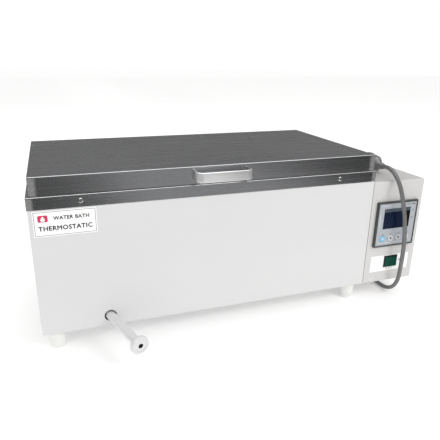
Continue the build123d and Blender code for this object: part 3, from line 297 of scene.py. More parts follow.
dome_mesh = bpy.data.meshes.new("dome")
work = bmesh.new()
bmesh.ops.create_uvsphere(work, u_segments=48, v_segments=24, radius=dome_radius)
bmesh.ops.delete(work, geom=[v for v in work.verts if v.co.z < -0.01], context="VERTS")
work.to_mesh(dome_mesh)
work.free()
dome_mesh.materials.append(dome_tone)
dome = bpy.data.objects.new("dome", dome_mesh)
scene.collection.objects.link(dome)
only_for_reflections(dome)
print("dome:", len(dome_mesh.polygons), "faces")

# %% [markdown]
# The floor cards have soft lighter and darker fields, like furniture and windows that a skirt of
# polished sheet would show. Four of them lie round the object and leave its own floor free.

# %% Floor cards
card_tone, tree, glow = shader_material("card_tone", "ShaderNodeEmission", {})
tree.links.new(tone_ramp(tree, spread(tree, along(tree, "X"), -1.0, 1.6), [
    (0.0, 0.10), (0.21, 0.06), (0.30, 0.13), (0.377, 0.36), (0.47, 0.33), (0.546, 0.40), (0.596, 0.28),
    (0.654, 0.13), (0.71, 0.04), (0.81, 0.02), (1.0, 0.12)]), glow.inputs["Color"])
reach, card_height = 8.9, 0.002
free_left, free_front, free_right, free_rear = -0.498, -0.400, 0.498, 0.461
card_edges = {
    "floor_card_front": (-reach, -reach, reach, free_front),
    "floor_card_rear": (-reach, free_rear, reach, reach),
    "floor_card_left": (-reach, free_front, free_left, free_rear),
    "floor_card_right": (free_right, free_front, reach, free_rear)}
for card_name, edges in card_edges.items():
    only_for_reflections(sheet_object(card_name, *edges, card_height, card_tone))
print("cards:", list(card_edges))

# %% [markdown]
# Seen directly, the backdrop is white paper with no horizon: a larger dome that only the eye sees.

# %% White paper behind
paper_tone = shader_material("paper_tone", "ShaderNodeEmission", {"Strength": 1.0})[0]
paper = bpy.data.objects.new("paper", dome_mesh.copy())
paper.data.materials.clear()
paper.data.materials.append(paper_tone)
paper.data.transform(Matrix.Scale(1.5, 4))
scene.collection.objects.link(paper)
for ray in ("diffuse", "glossy", "transmission", "volume_scatter", "shadow"):
    setattr(paper, "visible_" + ray, False)
print("paper:", len(paper.data.polygons), "faces")
# %% [markdown]
# ## Finishes
# Each finish is a small network on one shader, in the object's own coordinates (metres), so a
# scratch is as long on every piece as it is in life. A helper lays down the shader and two kinds
# of unevenness: a stretched noise for brushing and rolling marks, and a round one for paint,
# moulding skin and smudges. The alternative, photographs of steel and paint, would blur close up
# and tie the part to picture files.

# %% Helpers for finishes
finishes = {}


def noise(tree, scale, detail, stretch=(1.0, 1.0, 1.0), roughness=0.55):
    """Procedural noise in object coordinates. scale is features per metre."""
    where = add(tree, "ShaderNodeTexCoord", {})
    mapping = add(tree, "ShaderNodeMapping", {"Vector": where.outputs["Object"], "Scale": stretch})
    return add(tree, "ShaderNodeTexNoise", {"Vector": mapping.outputs[0], "Scale": scale,
                                            "Detail": detail, "Roughness": roughness}).outputs["Fac"]


def between(tree, value, low, high):
    """Spreads a noise, which stays near one half, over low..high."""
    return spread(tree, value, 0.30, 0.70, low, high)


def blend_colours(tree, factor, first, second):
    """A colour mix. first and second are colours or sockets."""
    colours = [(*c, 1.0) if isinstance(c, tuple) else c for c in (first, second)]
    return add(tree, "ShaderNodeMix", {"Factor": factor, 6: colours[0], 7: colours[1]},
               data_type="RGBA").outputs[2]


def maths(tree, operation, first, second):
    """A value worked out from two others."""
    return add(tree, "ShaderNodeMath", {0: first, 1: second}, operation=operation).outputs[0]


def dimmed(colour, share):
    """A colour times a share."""
    return tuple(c * share for c in colour)


def finish(name, metal=0.0, specular=0.5, coat=0.0, coat_rough=0.1):
    """A material with one Principled shader, kept by name. Returns its tree and shader."""
    finishes[name], tree, shader = shader_material(name, "ShaderNodeBsdfPrincipled", {
        "Metallic": metal, "Specular IOR Level": specular, "IOR": 1.5,
        "Coat Weight": coat, "Coat Roughness": coat_rough})
    return tree, shader


def dress(tree, shader, colour, rough_noise, rough, relief, depth):
    """Wires a colour, a roughness between two values, and a relief of so many metres."""
    tree.links.new(colour, shader.inputs["Base Color"])
    tree.links.new(between(tree, rough_noise, rough[0], rough[1]), shader.inputs["Roughness"])
    bump = add(tree, "ShaderNodeBump", {"Height": relief, "Distance": depth, "Strength": 1.0})
    tree.links.new(bump.outputs[0], shader.inputs["Normal"])


print("helpers for finishes are ready")

# %% [markdown]
# Stainless sheet is rolled, then brushed along its length with an abrasive belt. The brushing
# gives long fine lines, tone that changes a little from line to line, and a reflection that is
# smeared across the lines. Handling leaves faint cloudy patches. So: one noise stretched along
# the belt for lines in tone, roughness and relief, and one broad noise for the clouds.

# A pale band at each end of the lid's and the rim's skirts is a painted highlight: the light those ends catch
# is painted into the steel's colour, with a little less metal. A mask on the piece's own X and Z lays that
# band down.

# %% The brushed steel recipe
def end_highlight_mask(tree, left, right, top, band):
    """Mask of the painted end highlight: one within band of the two ends in X and below a height, nought
    elsewhere.
    """
    x, soft = along(tree, "X"), 0.6 * band
    near_left = spread(tree, x, left + band, left + soft)
    near_right = spread(tree, x, right - band, right - soft)
    below = spread(tree, along(tree, "Z"), top, top - 0.0008)
    return maths(tree, "MULTIPLY", maths(tree, "MAXIMUM", near_left, near_right), below)


def brushed_steel(name, tone, along_axis, metal=1.0, rough=(0.26, 0.36), tint=(0.985, 1.0, 1.03),
                  painted_end_highlight=None, painted_falloff=None):
    """Brushed stainless. along_axis is the direction of the belt: 0 for X, 1 for Y, 2 for Z."""
    cloud, lines, depth = 0.09, 0.05, 0.000003
    tree, shader = finish(name, metal=metal)
    belt = noise(tree, 1.0, 4.0, tuple(3.0 if axis == along_axis else 900.0 for axis in range(3)), 0.7)
    lit = tuple(min(1.0, tone * (1.0 + cloud) * t) for t in tint)
    dim = dimmed(tint, tone * (1.0 - cloud))
    clouds = blend_colours(tree, between(tree, noise(tree, 4.0, 3.0), 0.0, 1.0), dim, lit)
    light_line = (min(1.0, tone * (1.0 + lines + cloud)),) * 3
    weave = maths(tree, "MULTIPLY", between(tree, belt, 0.0, 1.0), 0.5)
    brushed = blend_colours(tree, weave, clouds, light_line)
    # Painted highlight: a pale, less metallic band at both ends of the skirt stands in for the light those
    # ends catch.
    if painted_end_highlight is not None:
        ends, highlight_colour, highlight_metal = painted_end_highlight
        mask = end_highlight_mask(tree, *ends)
        brushed = blend_colours(tree, mask, brushed, highlight_colour)
        tree.links.new(spread(tree, mask, 0.0, 1.0, metal, highlight_metal), shader.inputs["Metallic"])
    # Painted shade: the tone dims along X towards the right end, as if lit from the left.
    if painted_falloff is not None:
        start, end, share = painted_falloff
        brushed = blend_colours(tree, spread(tree, along(tree, "X"), start, end), brushed,
                                dimmed(tint, tone * share))
    dress(tree, shader, brushed, belt, rough, belt, depth)


print("steel recipe is ready")

# %% [markdown]
# Five steels come from the recipe. The lid and the tank are brushed along their length, the shelf across it,
# and the hinges upright; the lid and the tank also carry a painted highlight at both ends of their skirts.
# The handle is polished brighter, and painted shade dims its tone towards the right, as if it were lit from
# its left end.

# %% Brushed steels
def skirt_ends(node_name, band):
    """The painted highlight bands at both ends of a folded skirt, from the piece's own box."""
    low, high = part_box(node_name)
    return low.x, high.x, high.z - 0.0016, band


handle_low, handle_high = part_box("lid_handle")
# The lid and the tank carry a painted highlight, a pale band, at both ends of their skirts.
brushed_steel("lid_steel", 0.60, 0, rough=(0.20, 0.30),
              painted_end_highlight=(skirt_ends("lid_shell", 0.014), (0.93, 0.93, 0.92), 0.86))
brushed_steel("tank_steel", 0.60, 0, rough=(0.20, 0.30),
              painted_end_highlight=(skirt_ends("inner_tank", 0.012), (0.95, 0.95, 0.94), 0.86))
brushed_steel("shelf_steel", 0.62, 1)
# The handle's tone dims to the right: painted shade.
brushed_steel("handle_steel", 0.94, 0, rough=(0.22, 0.30), tint=(1.0, 1.0, 1.0), metal=0.60,
              painted_falloff=(handle_low.x + 0.035, handle_high.x, 0.62))
brushed_steel("hinge_steel", 0.64, 2, rough=(0.24, 0.34))
print("steels:", [n for n in finishes if n.endswith("steel")])

# %% [markdown]
# Turned and pressed metal parts are small, so their finish is a tone with fine turning marks and
# a little grime. Brass nuts and pins, the dark oxide on the heater's sheath and the sand-blasted
# look of extruded aluminium are all one recipe with other numbers.

# %% Small metal parts
def turned_metal(name, tone, rough=(0.20, 0.34), grain=700.0, variation=0.12):
    """A small metal part: tone is a colour."""
    tree, shader = finish(name, metal=1.0)
    marks = noise(tree, grain, 3.0)
    grime = between(tree, noise(tree, 60.0, 4.0), 0.0, 1.0)
    colour = blend_colours(tree, grime, dimmed(tone, 1.0 - variation), tone)
    dress(tree, shader, colour, marks, rough, marks, 0.00001)


turned_metal("screw_steel", (0.80, 0.80, 0.80), rough=(0.14, 0.26))
turned_metal("probe_steel", (0.62, 0.62, 0.63))
turned_metal("nut_brass", (0.72, 0.55, 0.28))
turned_metal("pin_brass", (0.80, 0.66, 0.38), rough=(0.16, 0.28))
turned_metal("element_sheath", (0.30, 0.30, 0.29), rough=(0.34, 0.52), variation=0.30)
turned_metal("sink_aluminium", (0.68, 0.69, 0.70), rough=(0.34, 0.46), grain=1500.0)
print("small metals are mixed")

# %% [markdown]
# The cabinet is powder coated: an even off-white skin with the faint ripple called orange peel, a satin
# gloss, and slightly thinner, greyer patches. The control box's paint is a shade warmer and darker. Round
# noise at about a millimetre gives the peel, a very broad one keeps the large panels from being one flat
# value, and a sharp one leaves a few specks of dust.

# %% Paints
def powder_paint(name, tone, shade):
    """Powder coat: tone is its colour, shade the colour of its dim patches."""
    tree, shader = finish(name, coat=0.12, coat_rough=0.22)
    dust = noise(tree, 140.0, 5.0)
    patches = between(tree, noise(tree, 3.2, 3.0), 0.0, 1.0)
    specks = spread(tree, dust, 0.68, 0.74, 0.0, 0.25)
    colour = blend_colours(tree, specks, blend_colours(tree, patches, shade, tone), dimmed(shade, 0.86))
    dress(tree, shader, colour, dust, (0.34, 0.42), noise(tree, 620.0, 2.0), 0.000025)


powder_paint("cabinet_paint", (0.68, 0.68, 0.678), (0.655, 0.656, 0.658))
powder_paint("box_paint", (0.63, 0.618, 0.610), (0.585, 0.572, 0.566))
print("paints are mixed")

# %% [markdown]
# Moulded plastics and rubber differ from paint in three ways: their skin is finer, their gloss
# is softer, and they take dust in the grain. One recipe covers the white drain cock and feet,
# the black and green switch parts, the controller's dark frame, the seals and the printing inks.

# %% Plastics and rubbers
def moulded(name, tone, rough=(0.34, 0.46), grain=900.0, depth=0.000015, fade=0.93, specular=0.5, coat=0.0):
    """A moulded piece: tone is its colour, fade what its dim patches keep of it."""
    tree, shader = finish(name, specular=specular, coat=coat, coat_rough=0.15)
    skin = noise(tree, grain, 2.0)
    patches = between(tree, noise(tree, 45.0, 4.0), 0.0, 1.0)
    colour = blend_colours(tree, patches, dimmed(tone, fade), tone)
    dress(tree, shader, colour, skin, rough, skin, depth)


moulded("white_plastic", (0.70, 0.70, 0.70), fade=0.96, rough=(0.26, 0.36), coat=0.3)
moulded("foot_plastic", (0.82, 0.82, 0.80), fade=0.95, rough=(0.42, 0.55))
moulded("seal_rubber", (0.035, 0.035, 0.036), rough=(0.55, 0.72), specular=0.3)
moulded("seal_silicone", (0.55, 0.55, 0.52), rough=(0.46, 0.6), specular=0.35)
moulded("frame_plastic", (0.052, 0.060, 0.057), rough=(0.34, 0.44))
moulded("black_plastic", (0.008, 0.012, 0.011), rough=(0.36, 0.48), specular=0.3)
moulded("relay_plastic", (0.62, 0.61, 0.57))
moulded("rocker_green", (0.0, 0.066, 0.042), rough=(0.36, 0.46), specular=0.15)
moulded("tie_plastic", (0.02, 0.02, 0.02), rough=(0.30, 0.42))
moulded("plug_plastic", (0.17, 0.17, 0.172), rough=(0.22, 0.32), grain=1400.0, coat=0.7)
moulded("cord_jacket", (0.155, 0.155, 0.158), rough=(0.34, 0.46), grain=1100.0, fade=0.86, coat=0.3)
moulded("key_blue", (0.20, 0.52, 0.76), rough=(0.28, 0.38))
moulded("key_silver", (0.60, 0.61, 0.62), rough=(0.24, 0.34))
moulded("mineral_wool", (0.62, 0.58, 0.44), rough=(0.85, 0.95), grain=350.0, depth=0.0006, fade=0.78,
        specular=0.1)
moulded("label_plate", (0.94, 0.94, 0.93), rough=(0.30, 0.40), fade=0.985)
moulded("face_foil", (0.42, 0.445, 0.475), rough=(0.30, 0.42), fade=0.95)
moulded("board", (0.02, 0.14, 0.07), rough=(0.30, 0.44))
moulded("lcd", (0.0050, 0.0120, 0.036), rough=(0.10, 0.14), fade=0.92, coat=0.2)
moulded("window_glass", (0.0042, 0.0108, 0.034), rough=(0.07, 0.11), fade=0.94, coat=0.3, specular=0.35)
print("finishes so far:", len(finishes))

# %% [markdown]
# The record names a material slot for every piece, so each finish goes on by that name. The
# tank's own slot covers its inside and its rim, and the lid keeps a finish to itself. The window
# is dark acrylic over an unlit panel, so it is given the panel's blue and its own hard gloss.

# %% Put the finishes on
for node_name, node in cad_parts.items():
    for index, old in enumerate(node.data.materials):
        slot = old.name.split(".")[0]
        if slot in finishes:
            node.data.materials[index] = finishes[slot]
        else:
            print("no finish for", node_name, slot)
# %% [markdown]
# ## Screws
# The rim, the handle and the rear cover are held by the same kind of screw: a domed head, cut
# with a cross for the driver, no two stopped at the same turn. They could be modelled one by
# one. Geometry Nodes suits them better: one head is made once, a small tree sets it on every
# marked place and gives each a random turn from a fixed seed.

# %% One domed head with a cross in it
def mesh_piece(name, points, faces, finish_name, smooth=True):
    """A mesh object at the origin with one finish."""
    mesh = bpy.data.meshes.new(name)
    mesh.from_pydata([tuple(p) for p in points], [], faces)
    mesh.materials.append(finishes[finish_name])
    mesh.polygons.foreach_set("use_smooth", [smooth] * len(mesh.polygons))
    mesh.update()
    made = bpy.data.objects.new(name, mesh)
    scene.collection.objects.link(made)
    return made


def circle_steps(count, start=0.0, end=360.0, closed=False):
    """Cosine and sine of evenly spaced angles, in degrees from start to end."""
    turns = [start + (end - start) * step / count for step in range(count + closed)]
    return [(math.cos(math.radians(t)), math.sin(math.radians(t))) for t in turns]


def screw_head(name):
    """A head of radius one and height one half, dome towards +Z, with a cross-shaped recess."""
    rings = [0.10, 0.20, 0.30, 0.42, 0.54, 0.66, 0.78, 0.88, 0.95, 1.0]
    around, dome_height, cross_depth, slot_half, cross_reach = 32, 0.52, 0.20, 0.10, 0.40
    points = [(0.0, 0.0, dome_height - cross_depth)]
    for radius in rings:
        for c, s in circle_steps(around):
            x, y = radius * c, radius * s
            in_cross = (abs(x) < slot_half or abs(y) < slot_half) and radius < cross_reach
            height = dome_height * math.sqrt(max(0.0, 1.0 - radius ** 2.6))
            points.append((x, y, height - (cross_depth if in_cross else 0.0)))
    faces = [(0, 1 + step, 1 + (step + 1) % around) for step in range(around)]
    for ring in range(len(rings) - 1):
        low, high = 1 + ring * around, 1 + (ring + 1) * around
        for step in range(around):
            after = (step + 1) % around
            faces.append((low + step, high + step, high + after, low + after))
    last = 1 + (len(rings) - 1) * around
    faces.append(tuple(last + step for step in reversed(range(around))))
    return mesh_piece(name, points, faces, "screw_steel", smooth=False)


head_pattern = screw_head("head_pattern")
print("screw head:", len(head_pattern.data.polygons), "faces")

# %% [markdown]
# A tree is written once with named inputs, run on a mesh of loose points, and its result is kept
# as a plain mesh. The carrier that ran it is thrown away.

# %% Helpers that write and run a tree
def new_tree(name, inputs):
    """A Geometry Nodes tree with named inputs: (name, socket type). Returns it and its inputs."""
    tree = bpy.data.node_groups.new(name, "GeometryNodeTree")
    for label, kind in [("Geometry", "Geometry")] + inputs + [("Finish", "Material")]:
        tree.interface.new_socket(label, in_out="INPUT", socket_type="NodeSocket" + kind)
    tree.interface.new_socket("Geometry", in_out="OUTPUT", socket_type="NodeSocketGeometry")
    return tree, tree.nodes.new("NodeGroupInput").outputs


def finish_tree(tree, given, geometry):
    """Gives the geometry its finish and sends it out."""
    coloured = add(tree, "GeometryNodeSetMaterial", {"Geometry": geometry, "Material": given["Finish"]})
    add(tree, "NodeGroupOutput", {0: coloured.outputs[0]})


def run_tree(name, tree, places, values):
    """Runs a tree on loose points with the given inputs and returns a plain mesh object."""
    start_mesh = bpy.data.meshes.new(name + "_places")
    start_mesh.from_pydata(places, [], [])
    carrier = bpy.data.objects.new(name + "_carrier", start_mesh)
    scene.collection.objects.link(carrier)
    modifier = carrier.modifiers.new("tree", "NODES")
    modifier.node_group = tree
    sockets = {item.name: item.identifier for item in tree.interface.items_tree
               if item.item_type == "SOCKET" and item.in_out == "INPUT"}
    for label, value in values.items():
        modifier[sockets[label]] = value
    bpy.context.view_layer.update()
    evaluated = carrier.evaluated_get(bpy.context.evaluated_depsgraph_get())
    mesh = bpy.data.meshes.new_from_object(evaluated)
    mesh.name = name
    made = bpy.data.objects.new(name, mesh)
    scene.collection.objects.link(made)
    bpy.data.objects.remove(carrier)
    return made


print("tree helpers are ready")

# %% [markdown]
# The screws' tree: the head is instanced on every point, faced outward, and turned about its own
# axis by a random part of a quarter turn, because a cross looks the same after a quarter.

# %% The tree that sets heads on places
screw_tree, given = new_tree("set_screws", [
    ("Head", "Object"), ("Radius", "Float"), ("Facing", "Vector"), ("Seed", "Int")])
head_info = add(screw_tree, "GeometryNodeObjectInfo", {"Object": given["Head"]})
turn = add(screw_tree, "FunctionNodeRandomValue", {
    3: math.radians(90), "Seed": given["Seed"]}, data_type="FLOAT")
spin = add(screw_tree, "ShaderNodeCombineXYZ", {"Z": turn.outputs[1]})
spin_turn = add(screw_tree, "FunctionNodeEulerToRotation", {0: spin.outputs[0]})
face_out = add(screw_tree, "FunctionNodeEulerToRotation", {0: given["Facing"]})
turned_head = add(screw_tree, "FunctionNodeRotateRotation", {
    "Rotation": face_out.outputs[0], "Rotate By": spin_turn.outputs[0]}, rotation_space="LOCAL")
heads = add(screw_tree, "GeometryNodeInstanceOnPoints", {
    "Points": given["Geometry"], "Instance": head_info.outputs["Geometry"],
    "Rotation": turned_head.outputs[0], "Scale": given["Radius"]})
real_heads = add(screw_tree, "GeometryNodeRealizeInstances", {0: heads.outputs[0]})
finish_tree(screw_tree, given, real_heads.outputs[0])
print("screw tree:", len(screw_tree.nodes), "nodes")

# %% [markdown]
# The places come from the engineering model's own screws: each loose part of a screw node is one
# screw, and the middle of its outer face is where the head sits. The model's plain screws stay
# for their shanks, and the detailed head covers each dome. The parts are sorted by place, because
# a set has no order of its own and each screw has to get the same turn on every run.

# %% Find the screws
def loose_parts(node_name):
    """The lowest and highest corner of every separate piece in a node, on a merged copy."""
    work = bmesh.new()
    work.from_mesh(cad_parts[node_name].data)
    bmesh.ops.remove_doubles(work, verts=work.verts, dist=1e-5)
    left = set(work.verts)
    parts = []
    while left:
        reach = [left.pop()]
        found = list(reach)
        while reach:
            for edge in reach.pop().link_edges:
                for vert in edge.verts:
                    if vert in left:
                        left.remove(vert)
                        reach.append(vert)
                        found.append(vert)
        parts.append(tuple(Vector([pick(v.co[i] for v in found) for i in range(3)]) for pick in (min, max)))
    work.free()
    return sorted(parts, key=lambda part: [round(c, 4) for c in part[0]])


rim_parts = loose_parts("rim_screws")
front_rim = [p for p in rim_parts if p[0].y < 0]
rear_rim = [p for p in rim_parts if p[0].y > 0]
print("rim screws:", len(front_rim), "in front,", len(rear_rim), "behind")

# %% [markdown]
# Each group of heads is one tree run. Front screws face -Y and rear ones +Y, and a head starts
# a little inside its plain screw's outer face, by the rise.

# %% Set the screw heads
def set_heads(name, parts, outward, rise, radius, body, seed):
    """Heads on the front (outward -1) or rear (+1) faces of parts."""
    places = []
    for low, high in parts:
        middle = (low + high) / 2
        face = low.y if outward < 0 else high.y
        places.append((middle.x, face - outward * rise, middle.z))
    made = run_tree(name, screw_tree, places, {
        "Head": head_pattern, "Radius": radius, "Facing": (-outward * math.radians(90), 0.0, 0.0),
        "Seed": seed, "Finish": finishes["screw_steel"]})
    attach(made, body)


set_heads("rim_screw_heads_front", front_rim, -1, 0.00225, 0.0042, "body", 4)
set_heads("rim_screw_heads_rear", rear_rim, 1, 0.00225, 0.0042, "body", 7)
set_heads("handle_screw_heads", loose_parts("handle_screws"), -1, 0.00165, 0.0036, "lid", 2)
set_heads("cover_screw_heads", loose_parts("control_box_screws"), 1, 0.00155, 0.0032, "body", 9)
bpy.data.objects.remove(head_pattern)
print("screw heads are set")

# %% [markdown]
# ## Print on the controller
# The controller's face is a printed foil: small lines beside the window, short marks over the
# keys, and arrows on the key caps. The window has a grey band along its top and a black strip on
# its right, with the liquid-crystal panel between them. Print has almost no thickness, so each
# mark is a flat piece set a hair above its surface. The marks' shapes come from a short list.

# %% Inks and a helper for flat print
print_gap = 0.00006
moulded("ink_dark", (0.02, 0.022, 0.026), rough=(0.40, 0.50), fade=0.9)
moulded("ink_white", (0.82, 0.83, 0.84), rough=(0.40, 0.50), fade=0.97)
moulded("ink_shade", (0.012, 0.012, 0.012), rough=(0.70, 0.80), fade=0.9, specular=0.05)
moulded("ink_red", (0.66, 0.03, 0.10), rough=(0.34, 0.44), fade=0.9)
moulded("ink_shadow", (0.20, 0.20, 0.20), rough=(0.60, 0.70), fade=0.9)
moulded("ink_grey", (0.42, 0.43, 0.44), rough=(0.40, 0.50), fade=0.95)
moulded("window_band", (0.075, 0.10, 0.125), rough=(0.10, 0.16), fade=0.9)
moulded("window_strip", (0.004, 0.005, 0.007), rough=(0.08, 0.14), fade=0.9)


def flat_print(name, shapes, y, finish_name, body="body"):
    """Flat shapes facing the front: lists of (x, z) corners in millimetres, seen from the front."""
    points, faces = [], []
    for shape in shapes:
        first = len(points)
        area = sum(a[0] * b[1] - b[0] * a[1] for a, b in zip(shape, shape[1:] + shape[:1]))
        ordered = shape if area > 0 else shape[::-1]
        points += [(x / 1000, y, z / 1000) for x, z in ordered]
        faces.append(tuple(range(first, first + len(shape))))
    made = mesh_piece(name, points, faces, finish_name, smooth=False)
    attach(made, body)


def front_face(node_name):
    """A node's left, right, bottom and top in millimetres, and the height of print on its front."""
    low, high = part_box(node_name)
    return low.x * 1000, high.x * 1000, low.z * 1000, high.z * 1000, low.y - print_gap


print("inks:", [n for n in finishes if n.startswith("ink")])

# %% [markdown]
# Lettering is set from a font and made a mesh. Bold strokes come from five copies laid over one
# another, because thickening a font's outline closes the narrow corners of its letters.

# %% Bars, frames and lettering
def bar(x, z, width, height):
    """A rectangle by its middle."""
    return [(x - width / 2, z - height / 2), (x + width / 2, z - height / 2),
            (x + width / 2, z + height / 2), (x - width / 2, z + height / 2)]


def outline(x0, z0, x1, z1, line):
    """Four bars round a rectangle."""
    x, z, tall = (x0 + x1) / 2, (z0 + z1) / 2, z1 - z0 - 2 * line
    return [bar(x, z0 + line / 2, x1 - x0, line), bar(x, z1 - line / 2, x1 - x0, line),
            bar(x0 + line / 2, z, line, tall), bar(x1 - line / 2, z, line, tall)]


def lettering(name, words, size, x, y, z, finish_name, body="body", spacing=1.0,
              align="LEFT", bold=0.0):
    """Flat lettering facing the front, made a mesh before its place is applied. Millimetres, but y."""
    font = bpy.data.curves.new(name, "FONT")
    font.body = words
    font.size = size / 1000
    font.align_x = align
    font.align_y = "CENTER"
    font.space_character = spacing
    font.resolution_u = 3
    carrier = bpy.data.objects.new(name + "_carrier", font)
    scene.collection.objects.link(carrier)
    bpy.context.view_layer.update()
    mesh = bpy.data.meshes.new_from_object(carrier.evaluated_get(bpy.context.evaluated_depsgraph_get()))
    bpy.data.objects.remove(carrier)
    mesh.name = name
    copies = ((0, 0), (bold, 0), (-bold, 0), (0, bold), (0, -bold)) if bold else ((0, 0),)
    layer = 0.000002
    work = bmesh.new()
    for step, (right, up) in enumerate(copies):
        before = set(work.verts)
        work.from_mesh(mesh)
        for vert in set(work.verts) - before:
            vert.co += Vector((right / 1000, up / 1000, step * layer))
    work.to_mesh(mesh)
    work.free()
    mesh.transform(Matrix.Translation((x / 1000, y, z / 1000)) @ Matrix.Rotation(math.radians(90), 4, "X"))
    mesh.materials.clear()
    mesh.materials.append(finishes[finish_name])
    made = bpy.data.objects.new(name, mesh)
    scene.collection.objects.link(made)
    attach(made, body)


print("print helpers are ready")

# %% [markdown]
# The window's band, strip and rim are laid out from the window's own edges.

# %% Print the window
left, right, bottom, top, window_y = front_face("display_window")
window_right, window_top = right, top
band_height, strip_width, rim_gap, rim_line = 7.5, 13.0, 1.1, 1.0
flat_print("window_top_band", [bar((left + right) / 2, top - band_height / 2, right - left, band_height)],
           window_y, "window_band")
flat_print("window_side_strip", [bar(right - strip_width / 2, (bottom + top - band_height) / 2, strip_width,
                                     top - band_height - bottom)], window_y, "window_strip")
flat_print("window_rim", outline(left - rim_gap, bottom - rim_gap, right + rim_gap, top + rim_gap, rim_line),
           window_y, "ink_grey")
print("window printed,", round(right - left, 1), "by", round(top - bottom, 1), "mm")

# %% [markdown]
# The foil has dark strokes over the keys and at its upper right, white hairlines on three sides,
# and two short marks that name the two readings: the measured value and the set value.

# %% Print the face
left, right, bottom, top, face_y = front_face("controller_face")
keys = {name: front_face("key_" + name) for name in ("set", "shift", "down", "up")}
key_z = (keys["set"][2] + keys["set"][3]) / 2
dark_marks = [bar((key[0] + key[1]) / 2, key_z + 9.0, 5.0, 0.9) for key in keys.values()]
dark_marks += [bar(right - 7.5, window_top + 6.2, 9.0, 1.3), bar(right - 20.0, window_top + 6.2, 8.0, 0.9)]
white_marks = [bar(left + 16, window_top + 6.4, 22.0, 0.7), bar(left + 5.2, 176.0, 0.7, 30.0),
               bar((left + right) / 2, key_z - 9.6, 78.0, 0.6)]
flat_print("face_marks_dark", dark_marks, face_y, "ink_dark")
flat_print("face_marks_white", white_marks, face_y, "ink_white")
for name, word, drop in (("mark_pv", "PV", 8.0), ("mark_sv", "SV", 24.0)):
    lettering(name, word, 5.0, right - 9.5, face_y, window_top - drop, "ink_dark")
print("face printed:", len(dark_marks) + len(white_marks), "marks")

# %% [markdown]
# Three keys carry an arrow and the fourth a word. Each is printed on its own key, so it moves
# when the key is pressed.

# %% Print the key caps
def arrow(x, z, size, turn):
    """A triangle pointing up, turned by so many degrees."""
    corners = [(0.0, size), (-size * 0.87, -size * 0.55), (size * 0.87, -size * 0.55)]
    c, s = math.cos(math.radians(turn)), math.sin(math.radians(turn))
    return [(x + a * c - b * s, z + a * s + b * c) for a, b in corners]


for name, pointing in (("shift", 90), ("down", 180), ("up", 0)):
    left, right, bottom, top, cap_y = keys[name]
    flat_print("key_" + name + "_arrow", [arrow((left + right) / 2, (bottom + top) / 2, 3.4, pointing)],
               cap_y, "ink_dark", name + "_key")
left, right, bottom, top, cap_y = keys["set"]
lettering("key_set_word", "SET", 4.4, (left + right) / 2, cap_y, (bottom + top) / 2, "ink_white",
          "set_key", align="CENTER", bold=0.12)
print("keys printed:", list(keys))

# %% [markdown]
# ## The two label plates
# The name plate is a white printed plate with a thin dark border, a small red mark at its upper
# left and two lines of bold dark lettering. Makers print their own mark there. This one gets a
# plain water drop and words that any bath could carry.

# %% Print the name plate
def drop_shape(x, z, size, steps=28):
    """A water drop: round below, drawn to a point above."""
    return [(x + 0.46 * size * s * (1.0 - 0.5 * c), z + 0.62 * size * c) for c, s in circle_steps(steps)]


def rounded_block(x0, z0, x1, z1, corner, steps=5):
    """A rectangle with rounded corners."""
    shape = []
    for cx, cz, start in ((x1 - corner, z1 - corner, 0), (x0 + corner, z1 - corner, 90),
                          (x0 + corner, z0 + corner, 180), (x1 - corner, z0 + corner, 270)):
        shape += [(cx + corner * c, cz + corner * s) for c, s in circle_steps(steps, start, start + 90, True)]
    return shape


left, right, bottom, top, plate_y = front_face("name_plate")
border_inset, border_line = 1.6, 0.8
line_drop, line_rise = 13.0, 13.0
flat_print("plate_border", outline(left + border_inset, bottom + border_inset, right - border_inset,
                                   top - border_inset, border_line), plate_y, "ink_shadow")
flat_print("plate_mark", [rounded_block(left + 7.5, top - 18.0, left + 22.5, top - 7.0, 2.0)], plate_y,
           "ink_red")
flat_print("plate_drop", [drop_shape(left + 15.0, top - line_drop, 6.8)], plate_y - print_gap, "ink_white")
lettering("plate_line_one", "WATER BATH", 8.4, left + 31.0, plate_y, top - line_drop, "ink_dark",
          spacing=1.06, bold=0.26)
lettering("plate_line_two", "THERMOSTATIC", 10.4, (left + right) / 2, plate_y, bottom + line_rise, "ink_dark",
          spacing=1.10, align="CENTER", bold=0.34)
print("name plate printed")

# %% [markdown]
# The plate round the switch has only small marks: a stroke for on, a ring for off, and a few
# dots under the rocker.

# %% Print the switch plate
plate_y = front_face("switch_plate")[4]
left, right, bottom, top = front_face("switch_housing")[:4]
middle = (bottom + top) / 2
flat_print("switch_marks", [
    bar(left - 7.0, middle, 0.9, 4.2), bar(left - 24.0, middle, 2.0, 1.2),
    bar(left + 9.0, bottom - 4.0, 3.0, 1.5), bar(left + 16.0, bottom - 4.0, 3.0, 1.5),
    bar(left + 22.0, bottom - 4.2, 1.6, 1.0)],
    plate_y, "ink_dark")


def ring_quads(x, z, inner, outer, steps):
    """Quads between two ovals round (x, z). inner and outer are (half width, half height)."""
    rim = circle_steps(steps, closed=True)
    return [[(x + outer[0] * a[0], z + outer[1] * a[1]), (x + outer[0] * b[0], z + outer[1] * b[1]),
             (x + inner[0] * b[0], z + inner[1] * b[1]), (x + inner[0] * a[0], z + inner[1] * a[1])]
            for a, b in zip(rim, rim[1:])]


flat_print("switch_off_ring", ring_quads(right + 7.0, middle, (1.4, 1.4), (2.1, 2.1), 16), plate_y,
           "ink_dark")
print("switch plate printed")

# %% [markdown]
# ## Dark gaps
# The box's sheet meets the cabinet in a plain butt joint, and the gap shows as one dark line from
# top to bottom. It is a shadow more than a thing, so it is drawn as a line on the joint.

